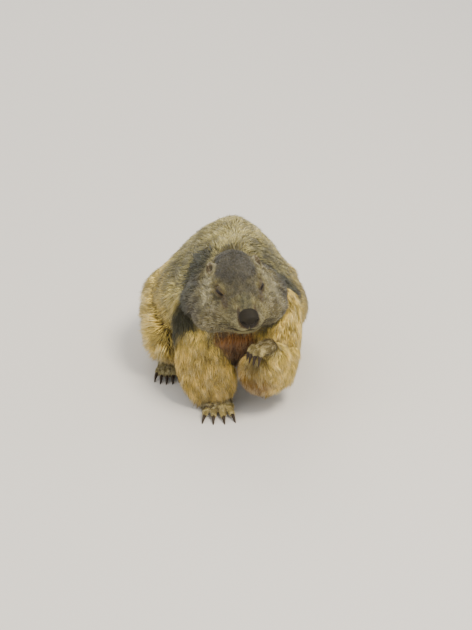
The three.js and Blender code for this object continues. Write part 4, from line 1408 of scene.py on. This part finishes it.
    def sculpt(self, surface: bmesh.types.BMesh) -> None:
        """Shapes the line of the mouth, the lids over the eyes and the cups of the ears.

        Args:
            surface: The skin in the drawing frame, which is changed.
        """
        places = np.array([v.co for v in surface.verts])
        axes = self.head.eye_axes()
        near = self.head.local(places)
        line = self.mouth(near)
        inwards = unit(np.array([0, -24, -20]) - near)
        groove = 2.6 * np.exp(-((line / 1.1) ** 2))
        swell = 0.7 * np.exp(-(((line - 2.6) / 1.3) ** 2))
        near = near + inwards * (groove - swell)[:, None]
        places = self.head.world(near)
        for side in (-1, 1):
            own = self.in_eye(places, side)
            lids = self.lids.height(own[:, 0], own[:, 1], own[:, 2], self.head.eye_radius)
            reach = np.hypot(own[:, 0] / self.lids.stretch, own[:, 1])
            share = eased(reach, self.lids.blend[1], self.lids.blend[0]) * (np.abs(own[:, 2] - 3) < 8)
            rise = (lids - own[:, 2]) * share
            shift = (rise[:, None] * axes[2]) * np.array([side, 1, 1])
            places = places + shift @ np.array(self.head.frame())[:3, :3].T
            stance = np.array(self.head.ear_stance(side))
            ear = carried(places, np.linalg.inv(stance))
            h = self.head.ear_half
            centre, radii = np.array([0, -4.4, 0.16 * h]), np.array([0.54 * h, 5.4, 0.74 * h])
            flat = ((ear[:, 0] - centre[0]) / radii[0]) ** 2 + ((ear[:, 2] - centre[2]) / radii[2]) ** 2
            floor = centre[1] + radii[1] * np.sqrt(np.maximum(1 - flat, 0))
            inside = (flat < 1) & (ear[:, 1] < floor) & (ear[:, 1] > -8)
            ear[inside, 1] = floor[inside]
            places[inside] = carried(ear[inside], stance)
        places[:, 2] = np.maximum(places[:, 2], SOLE_HEIGHT)
        put_at(surface, places)

    def mouth(self, near: Array) -> Array:
        """The distance from the line of the mouth and the cleft of the lip.

        Args:
            near: Places in the head's own frame.

        Returns:
            One distance a row.
        """
        return np.minimum(along_chain(mirrored(near), self.MOUTH), along_chain(near, self.CLEFT))

    def read(self, mesh: bpy.types.Mesh) -> None:
        """Reads region, lie, length and markings at each corner, and stores the markings on the mesh.

        Args:
            mesh: The skin in the drawing frame.
        """
        places, edges = corners_of(mesh), edges_of(mesh)
        nearest = self.nearest(places)
        share = relaxed(np.eye(len(Region))[self.regions[nearest]], edges, 14)
        self.weight = {region: share[:, region.value] for region in Region}
        self.way = unit(relaxed(self.ways[nearest], edges, 14))
        self.marks = Markings(self.head).at(places, self.weight)
        self.set_coat(mesh, places)
        for name, values in (*self.marks.items(), ("bare", self.bare)):
            marked_on(mesh, name, values)

    def wrists(self, places: Array) -> Array:
        """How near places are to the wrists of the planted paws, where the leg's coat runs out over them."""
        made = np.zeros(len(places))
        for name in ("forepaw_right", "hind_foot_right", "hind_foot_left"):
            near = PAWS[name].local(places)
            close = np.linalg.norm(near, axis=1) < 1.3 * PAWS[name].length + 10
            made = np.maximum(made, close * eased(near[:, 1] / PAWS[name].length, -0.75, -0.2))
        return made

    def set_coat(self, mesh: bpy.types.Mesh, places: Array) -> None:
        """Sets the length, rise, width and crowding of the hair at each corner.

        Args:
            mesh: The skin in the drawing frame.
            places: Its corners.
        """
        def mixed(name: str) -> Array:
            """A size of the coat, mixed between the regions."""
            return sum(getattr(COATS[region], name) * share for region, share in self.weight.items())

        near = self.head.local(places)
        side, ahead, high = mirrored(near).T
        head = self.weight[Region.HEAD] + self.weight[Region.MUZZLE]
        muzzle = eased(ahead, -22, -38)
        ruff = eased(side, 26, 44) * eased(ahead, 0, 24) * eased(high, 6, -12)
        crown = eased(high, 0, 12) * eased(side, 34, 22)
        fringe = eased(side, 12, 34) * eased(high, -24, -40) * eased(ahead, -24, -6)
        growth = 1 + head * (0.6 * ruff + 0.5 * fringe - 0.35 * crown - 0.66 * muzzle)
        growth = growth * (1 - 0.35 * head * eased(ahead, 8, -12) * eased(side, 34, 22))
        neck = self.weight[Region.TRUNK] * eased(places[:, 1], -30, -80)
        growth = growth * (1 - 0.3 * neck)
        growth = growth * (1 + 0.5 * head * eased(ahead, 22, 44) * eased(high, -20, 0))
        growth = growth * (1 + 1.2 * self.wrists(places) * self.weight[Region.PAW])
        self.bare = np.zeros(len(places))
        for sign in (-1, 1):
            own = self.in_eye(places, sign)
            out, _ = self.lids.slit(own[:, 0], own[:, 1])
            close = (own[:, 2] > -2) & (own[:, 2] < 12)
            reach = np.hypot(own[:, 0], own[:, 1])
            self.bare = np.maximum(self.bare, np.where(close, eased(out, 1.3, 0.5), 0))
            growth = growth * np.where(close, 0.4 + 0.6 * eased(reach, 6, 16), 1)
        pad = along_chain(near, ((0, -46, -5.5), (0, -52, -8)))
        self.bare = np.maximum(self.bare, 0.9 * eased(pad, 10.6, 9.4))
        line = self.mouth(near)
        self.bare = np.maximum(self.bare, 0.9 * eased(line, 2.4, 1.5))
        growth = growth * (0.3 + 0.7 * eased(line, 1.5, 8))
        edges = edges_of(mesh)
        self.length = relaxed((mixed("length") * growth)[:, None], edges, 12)[:, 0]
        self.rise = relaxed((mixed("rise") * growth)[:, None], edges, 12)[:, 0]
        self.width = mixed("width") * (0.6 + 0.4 * np.clip(growth, 0, 1.2))
        self.crowding = mixed("crowding") * (1 - eased(self.bare, 0.25, 0.6)) * (1 + 0.6 * head * muzzle)

    def finish(self, mesh: bpy.types.Mesh) -> bpy.types.Object:
        """Unwraps the skin by its own shape and puts it in place of the solids of flesh.

        Args:
            mesh: The skin in the frame.

        Returns:
            The piece.
        """
        made = shown("skin", mesh, Hair(Furs()).skin())
        bpy.context.view_layer.objects.active = made
        made.select_set(True)
        mesh.uv_layers.new(name=BAKE_MAP)
        bpy.ops.object.mode_set(mode="EDIT")
        bpy.ops.mesh.select_all(action="SELECT")
        bpy.ops.uv.smart_project(angle_limit=math.radians(66), island_margin=0.002)
        bpy.ops.object.mode_set(mode="OBJECT")
        made.select_set(False)
        flesh = [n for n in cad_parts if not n.startswith("eye") and n != "nose" and "claw" not in n]
        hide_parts(*sorted(flesh))
        return made


@dataclass(frozen=True)
class TuftPlan:
    """How the coat is dealt out over its layers."""

    layers: int = 8
    tufts: int = 18600
    quick_tufts: int = 6000
    clump: int = 16
    gather: float = 0.5
    patch: float = 0.003
    seed: int = 7


class FurCoat:
    """The coat: tufts of hair as closed tapered blades, in layers that lie evenly over the whole animal."""

    FACES = np.array(
        [[0, 2, 1], [0, 1, 4], [0, 4, 3], [1, 2, 5], [1, 5, 4], [2, 0, 3], [2, 3, 5], [3, 4, 6], [4, 5, 6], [5, 3, 6]]
    )
    ALONG = np.array([0, 0, 0, 0.5, 0.5, 0.5, 1.0])

    def __init__(self, skin: Skin, piece: bpy.types.Object, plan: TuftPlan) -> None:
        """Keeps the skin that the coat grows on and the plan."""
        self.skin = skin
        self.piece = piece
        self.plan = plan
        self.random = np.random.default_rng(plan.seed)

    def build(self) -> list[bpy.types.Object]:
        """Grows the whole coat.

        Returns:
            One piece a layer.
        """
        each = self.plan.tufts
        roots = self.roots(each * self.plan.layers)
        blades = self.blades(roots)
        order = self.random.permutation(len(blades))
        material = Hair(Furs()).coat()
        made = []
        for layer in range(self.plan.layers):
            chosen = order[layer * each : (layer + 1) * each]
            mesh = self.mesh(blades[chosen], {key: value[chosen] for key, value in roots.items()})
            piece = shown(f"coat_layer_{layer + 1}", mesh, material)
            made.append(piece)
        return made

    def roots(self, count: int) -> dict[str, Array]:
        """Draws the tufts' roots over the skin, as densely as each part of the coat stands.

        Args:
            count: How many.

        Returns:
            For each root its place, normal, lie, sizes, place on the unwrap, markings and chance.
        """
        mesh, skin = self.piece.data, self.skin
        mesh.calc_loop_triangles()
        corners = taken(mesh.loop_triangles, "vertices", 3, int)
        loops = taken(mesh.loop_triangles, "loops", 3, int)
        places, normals = corners_of(mesh), normals_of(mesh)
        a, b, c = (places[corners[:, i]] for i in range(3))
        area = np.linalg.norm(np.cross(b - a, c - a), axis=1) / 2
        sole = (normals[corners].mean(1)[:, 2] < -0.75) & (places[corners].mean(1)[:, 2] < 6 * MM)
        wish = np.cumsum(area * skin.crowding[corners].mean(1) * np.where(sole, 0, 1))
        draws = (np.arange(count) + self.random.random(count)) / count * wish[-1]
        face = np.minimum(np.searchsorted(wish, draws), len(corners) - 1)
        share = self.random.dirichlet((1, 1, 1), count)

        def spread(values: Array) -> Array:
            """Values of the skin's corners, at the roots."""
            return np.einsum("ij,ij...->i...", share, values[corners[face]])

        unwrap = taken(mesh.uv_layers[BAKE_MAP].data, "uv", 2)[loops[face]]
        normal = unit(spread(normals))
        way = spread(skin.way)
        way = unit(way - normal * (way * normal).sum(1, keepdims=True))
        made = {
            "place": spread(places), "normal": normal, "way": way,
            "length": spread(skin.length) * MM, "rise": spread(skin.rise) * MM, "width": spread(skin.width) * MM,
            "unwrap": np.einsum("ij,ijk->ik", share, unwrap), "chance": self.random.random(count),
        }
        made.update({name: spread(values) for name, values in skin.marks.items()})
        return made

    def blades(self, roots: dict[str, Array]) -> Array:
        """The corners of each tuft, seven to a blade: a root, a middle and a tip.

        Args:
            roots: What roots gives.

        Returns:
            Blades by corners by coordinates.
        """
        count = len(roots["place"])
        normal, place = roots["normal"], roots["place"]
        broad = np.sin(place @ self.random.normal(0, 110, (3, 4)) + self.random.random(4) * 6).sum(1)
        close = np.sin(place @ self.random.normal(0, 420, (3, 4)) + self.random.random(4) * 6).sum(1)
        side = np.cross(normal, roots["way"])
        turn = (0.13 * broad + 0.09 * close + self.random.normal(0, 0.19, count))[:, None]
        way = unit(roots["way"] * np.cos(turn) + side * np.sin(turn))
        length = (roots["length"] * self.random.uniform(0.72, 1.18, count))[:, None]
        rise = (roots["rise"] * self.random.uniform(0.55, 1.25, count))[:, None]
        base = place - normal * 0.8 * MM
        middle = place + way * 0.45 * length + normal * 0.62 * rise
        tip = place + way * 0.97 * length + normal * (rise - 0.06 * length)
        tip[:, 2] -= 0.12 * np.maximum(length[:, 0] - 5 * MM, 0)
        tip = self.gathered(roots, tip, length[:, 0])
        width = roots["width"] * self.random.uniform(0.8, 1.25, count)
        side = np.cross(normal, way)
        blades = np.empty((count, 7, 3))
        for ring, (centre, share) in enumerate(((base, 0.8), (middle, 0.75))):
            half = side * (share * width / 2)[:, None]
            blades[:, 3 * ring] = centre + half
            blades[:, 3 * ring + 1] = centre + normal * (0.32 * share * width)[:, None]
            blades[:, 3 * ring + 2] = centre - half
        blades[:, 6] = tip
        blades[:, :, 2] = np.maximum(blades[:, :, 2], 0.4 * MM)
        return blades

    def gathered(self, roots: dict[str, Array], tip: Array, length: Array) -> Array:
        """Draws the tips of neighbouring tufts together into locks, which also share a shade.

        Args:
            roots: What roots gives, whose chances are changed.
            tip: The tips.
            length: The tufts' lengths.

        Returns:
            The tips, nearer to those of each lock's leader.
        """
        place = roots["place"]
        leaders = self.random.permutation(len(place))[: len(place) // self.plan.clump]
        tree = KDTree(len(leaders))
        for spot, leader in zip(place[leaders], leaders):
            tree.insert(spot, int(leader))
        tree.balance()
        mine = np.array([tree.find(spot)[1] for spot in place])
        roots["chance"] = 0.4 * roots["chance"] + 0.6 * roots["chance"][mine]
        pull = self.plan.gather * eased(length, 3 * MM, 14 * MM)[:, None]
        wanted = tip[mine] + (place - place[mine]) * 0.25
        near = np.linalg.norm(place - place[mine], axis=1, keepdims=True) < 0.5 * length[:, None]
        return tip + (wanted - tip) * pull * near

    def mesh(self, blades: Array, roots: dict[str, Array]) -> bpy.types.Mesh:
        """Makes one layer's mesh from its blades.

        Args:
            blades: The corners of each blade.
            roots: What roots gives, for these blades.

        Returns:
            The mesh, with the markings and the map for baking.
        """
        count = len(blades)
        faces = (self.FACES[None] + 7 * np.arange(count)[:, None, None]).reshape(-1, 3)
        made = bpy.data.meshes.new("coat_layer")
        made.vertices.add(count * 7)
        made.vertices.foreach_set("co", blades.ravel())
        made.loops.add(faces.size)
        made.loops.foreach_set("vertex_index", faces.ravel())
        made.polygons.add(len(faces))
        made.polygons.foreach_set("loop_start", np.arange(0, faces.size, 3))
        made.update(calc_edges=True)
        half = self.plan.patch / 2
        across = np.array([half, 0, -half, half, 0, -half, 0])
        up = (self.ALONG - 0.5) * self.plan.patch
        spots = roots["unwrap"][:, None] + np.column_stack([across, up])[None]
        layer = made.uv_layers.new(name=BAKE_MAP)
        layer.data.foreach_set("uv", np.clip(spots, 0, 1).reshape(-1, 2)[faces.ravel()].ravel())
        for name in (*Markings.NAMES, "chance"):
            marked_on(made, name, np.repeat(roots[name], 7))
        marked_on(made, "along", np.tile(self.ALONG, count))
        return made


@dataclass(frozen=True)
class Face:
    """The eyes, the nose pad and the whiskers."""

    place: Place
    head: HeadPlan
    whiskers: int = 11
    whisker_length: float = 44.0
    whisker_radius: float = 0.2
    whisker_sag: float = 0.22
    whisker_rings: int = 9
    seed: int = 3

    def build(self) -> None:
        """Makes the eyes, the nose and the whiskers."""
        wet, stiff = WetEye().material(), WhiskerHair().material()
        for label, side in (("right", -1), ("left", 1)):
            self.eye(label, side, wet)
            self.whisker_row(label, side, stiff)
        self.nose()

    def eye(self, label: str, side: int, finish: bpy.types.Material) -> None:
        """Makes one eyeball with the bulge of its cornea.

        Args:
            label: Which eye.
            side: 1 for the left, -1 for the right.
            finish: The eye's material.
        """
        made = bmesh.new()
        bmesh.ops.create_uvsphere(made, u_segments=40, v_segments=28, radius=self.head.eye_radius)
        out = unit(np.array(self.head.look))
        corners = np.array([v.co for v in made.verts])
        facing = (unit(corners) @ out)[:, None]
        corners = corners + out * 0.5 * eased(facing, 0.72, 1.0)
        places = (corners + np.array(self.head.eye)) * np.array([side, 1, 1])
        put_at(made, self.place.metres(self.head.world(places)))
        bmesh.ops.recalc_face_normals(made, faces=made.faces)
        piece = shown(f"eyeball_{label}", meshed(made), finish)
        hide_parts(f"eye_{label}")

    def nose(self) -> None:
        """Makes the nose pad with its nostrils and the groove between them."""
        made = bmesh.new()
        bmesh.ops.create_uvsphere(made, u_segments=72, v_segments=64, radius=1)
        corners = np.array([v.co for v in made.verts])
        share, turn = np.clip((1 - corners[:, 2]) / 2, 0, 1), np.arctan2(corners[:, 1], corners[:, 0])
        places = self.head.nose().points(share, turn)
        folded = mirrored(places)
        n = self.head.nose_half
        pit = along_chain(folded, ((0.36 * n, -54.5, -9.2), (0.6 * n, -53.5, -7.4), (0.78 * n, -50, -6.2)))
        depth = 2.8 * eased(pit, 2.5, 0.4)
        groove = 0.9 * eased(folded[:, 0], 1.3, 0.2) * eased(places[:, 2], -6, -10)
        brow = 0.5 * eased(pit, 4.2, 2.8) * eased(pit, 1.8, 2.8)
        inwards = unit(np.array([0, -42, -5]) - places)
        places = places + inwards * (depth + groove - brow)[:, None]
        put_at(made, self.place.metres(self.head.world(places)))
        bmesh.ops.recalc_face_normals(made, faces=made.faces)
        piece = shown("nose_pad", meshed(made), NoseSkin().material())
        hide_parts("nose")

    def whisker_row(self, label: str, side: int, finish: bpy.types.Material) -> None:
        """Makes the whiskers of one side, in rows of four behind the nose.

        Args:
            label: Which side.
            side: 1 for the left, -1 for the right.
            finish: The whiskers' material.
        """
        random = np.random.default_rng(self.seed + side)
        joined = bmesh.new()
        for index in range(self.whiskers):
            row, column = divmod(index, 4)
            along, turn = 0.88 - 0.035 * column, math.radians(-14 - 13 * row + random.normal(0, 2))
            root = mirrored(self.head.skull().points(np.array([along]), np.array([turn])))[0]
            length = self.whisker_length * (0.6 + 0.14 * column) * random.uniform(0.85, 1.15)
            way = unit(np.array([0.95, 0.3 + 0.1 * column, 0.03 - 0.15 * row]))
            made = bmesh.new()
            bmesh.ops.create_cone(made, cap_ends=True, segments=4, radius1=1, radius2=1, depth=1)
            sides = [e for e in made.edges if abs(e.verts[0].co.z - e.verts[1].co.z) > 0.5]
            bmesh.ops.subdivide_edges(made, edges=sides, cuts=self.whisker_rings - 2)
            corners = np.array([v.co for v in made.verts])
            share = corners[:, 2:] + 0.5
            places = root + way * (length * share - 1.5) - np.array([0, 0, 1]) * self.whisker_sag * length * share**2
            radius = self.whisker_radius * (1 - 0.85 * share)
            places = places + radius * np.column_stack([0 * share, corners[:, :2]])
            put_at(made, self.place.metres(self.head.world(places * np.array([side, 1, 1]))))
            add_to(joined, made)
        bmesh.ops.recalc_face_normals(joined, faces=joined.faces)
        piece = shown(f"whiskers_{label}", meshed(joined), finish)


@dataclass(frozen=True)
class Claws:
    """The claws of all four feet, one piece a foot."""

    place: Place

    def build(self) -> None:
        """Makes the claws of each foot."""
        horn = ClawHorn().material()
        for name, paw in PAWS.items():
            joined = bmesh.new()
            for toe in range(len(paw.toes)):
                made, places, _ = Form(Region.PAW, paw.claw(toe), Lie.ALONG, paw.frame(), 14, 16).build()
                places = self.place.metres(places)
                places[:, 2] = np.maximum(places[:, 2], SOLE_HEIGHT * MM)
                put_at(made, places)
                add_to(joined, made)
            piece = shown(f"claws_of_{name}", meshed(joined), horn)
            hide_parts(*(f"{CLAW_NODES[name]}_{toe + 1}" for toe in range(len(paw.toes))))


@dataclass(frozen=True)
class Lamp:
    """A round soft lamp, in metres and watts, that shines on the animal."""

    name: str
    spot: tuple[float, float, float]
    size: float
    power: float

    def build(self, colour: str, target: Vector) -> None:
        """Hangs the lamp and turns it to its target.

        Args:
            colour: Its light's sRGB colour.
            target: The place that it shines on.
        """
        lamp = bpy.data.lights.new(self.name, "AREA")
        lamp.shape, lamp.size, lamp.energy = "DISK", self.size, self.power
        lamp.color = linear(colour)[:3]
        holder = bpy.data.objects.new(self.name, lamp)
        holder.location = self.spot
        holder.rotation_euler = (target - Vector(self.spot)).to_track_quat("-Z", "Y").to_euler()
        bpy.context.scene.collection.objects.link(holder)


@dataclass(frozen=True)
class Studio:
    """The floor, the light and the camera, which sees the animal from ahead and above."""

    place: Place
    aim: tuple[float, float, float] = (9.2, -16.3, 77.7)
    distance: float = 2300.0
    elevation: float = 27.0
    focal_pixels: float = 2000.0
    picture_height: float = 630.0
    sky_colour: str = "#f2f4f7"
    sky_strength: float = 1.08
    lamp_colour: str = "#fff3e0"
    floor_colour: str = "#d9d6d0"
    lamps: tuple[Lamp, ...] = (
        Lamp("key", (0.8, -0.9, 2.1), 0.8, 66.0),
        Lamp("fill", (-1.5, -1.0, 1.1), 1.6, 10.0),
        Lamp("rim", (-0.3, 1.6, 1.4), 1.2, 16.0),
    )

    def build(self) -> None:
        """Makes the floor, the lights and the camera."""
        self.floor()
        self.lights()
        self.camera()

    def floor(self) -> None:
        """Makes the plain pale floor."""
        made = bmesh.new()
        bmesh.ops.create_grid(made, x_segments=1, y_segments=1, size=6)
        ground = bpy.data.objects.new("floor", meshed(made))
        bpy.context.scene.collection.objects.link(ground)
        paint, _, _ = shader("matt_pale_floor_paint", Roughness=0.9, Base_Color=linear(self.floor_colour))
        ground.data.materials.append(paint)

    def lights(self) -> None:
        """Sets a soft key lamp above the animal's left, a fill, a rim lamp behind, and an even sky."""
        world = bpy.context.scene.world = bpy.data.worlds.new("even_sky")
        world.use_nodes = True
        sky = world.node_tree.nodes["Background"]
        sky.inputs["Color"].default_value = linear(self.sky_colour)
        sky.inputs["Strength"].default_value = self.sky_strength
        for lamp in self.lamps:
            lamp.build(self.lamp_colour, Vector((0, -0.03, 0.08)))

    def camera(self) -> None:
        """Sets the camera by the elevation, distance and focal length that the picture was taken with."""
        lens = bpy.data.cameras.new("camera")
        lens.sensor_fit = "VERTICAL"
        lens.sensor_height = 36.0
        lens.lens = self.focal_pixels * lens.sensor_height / self.picture_height
        lens.clip_end = 50.0
        holder = bpy.data.objects.new("camera", lens)
        tilt = math.radians(self.elevation)
        aim = Vector(self.place.metres(np.array([self.aim]))[0])
        back = Vector((0, -math.cos(tilt), math.sin(tilt)))
        holder.location = aim + back * self.distance * MM
        holder.rotation_euler = (-back).to_track_quat("-Z", "Y").to_euler()
        bpy.context.scene.collection.objects.link(holder)
        bpy.context.scene.camera = holder


def find_place(head: HeadPlan) -> Place:
    """Finds how far the frame is moved from the drawing frame, by the left eye.

    Args:
        head: The head's plan, which has the eye's place in the drawing frame.

    Returns:
        The way from one frame to the other.
    """
    low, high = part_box("eye_left")
    seen = (np.array(low) + np.array(high)) / 2 / MM
    drawn = head.world(np.array([head.solid_eye]))[0]
    return Place(tuple(float(v) for v in seen - drawn))


def main() -> None:
    logging.basicConfig(level=logging.INFO, format="%(name)s: %(message)s")
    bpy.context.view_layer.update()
    head = HeadPlan()
    place = find_place(head)
    log.info("frame is moved by %s mm", [round(v, 2) for v in place.shift])
    Studio(place).build()
    skin = Skin(place, head, BodyPlan(), Lids())
    piece = skin.build()
    log.info("skin: %d faces", len(piece.data.polygons))
    for layer in FurCoat(skin, piece, TuftPlan()).build():
        log.info("%s: %d triangles", layer.name, len(layer.data.polygons))
    Face(place, head).build()
    Claws(place).build()
    log.info("face and claws are built")


if __name__ == "__main__":
    main()
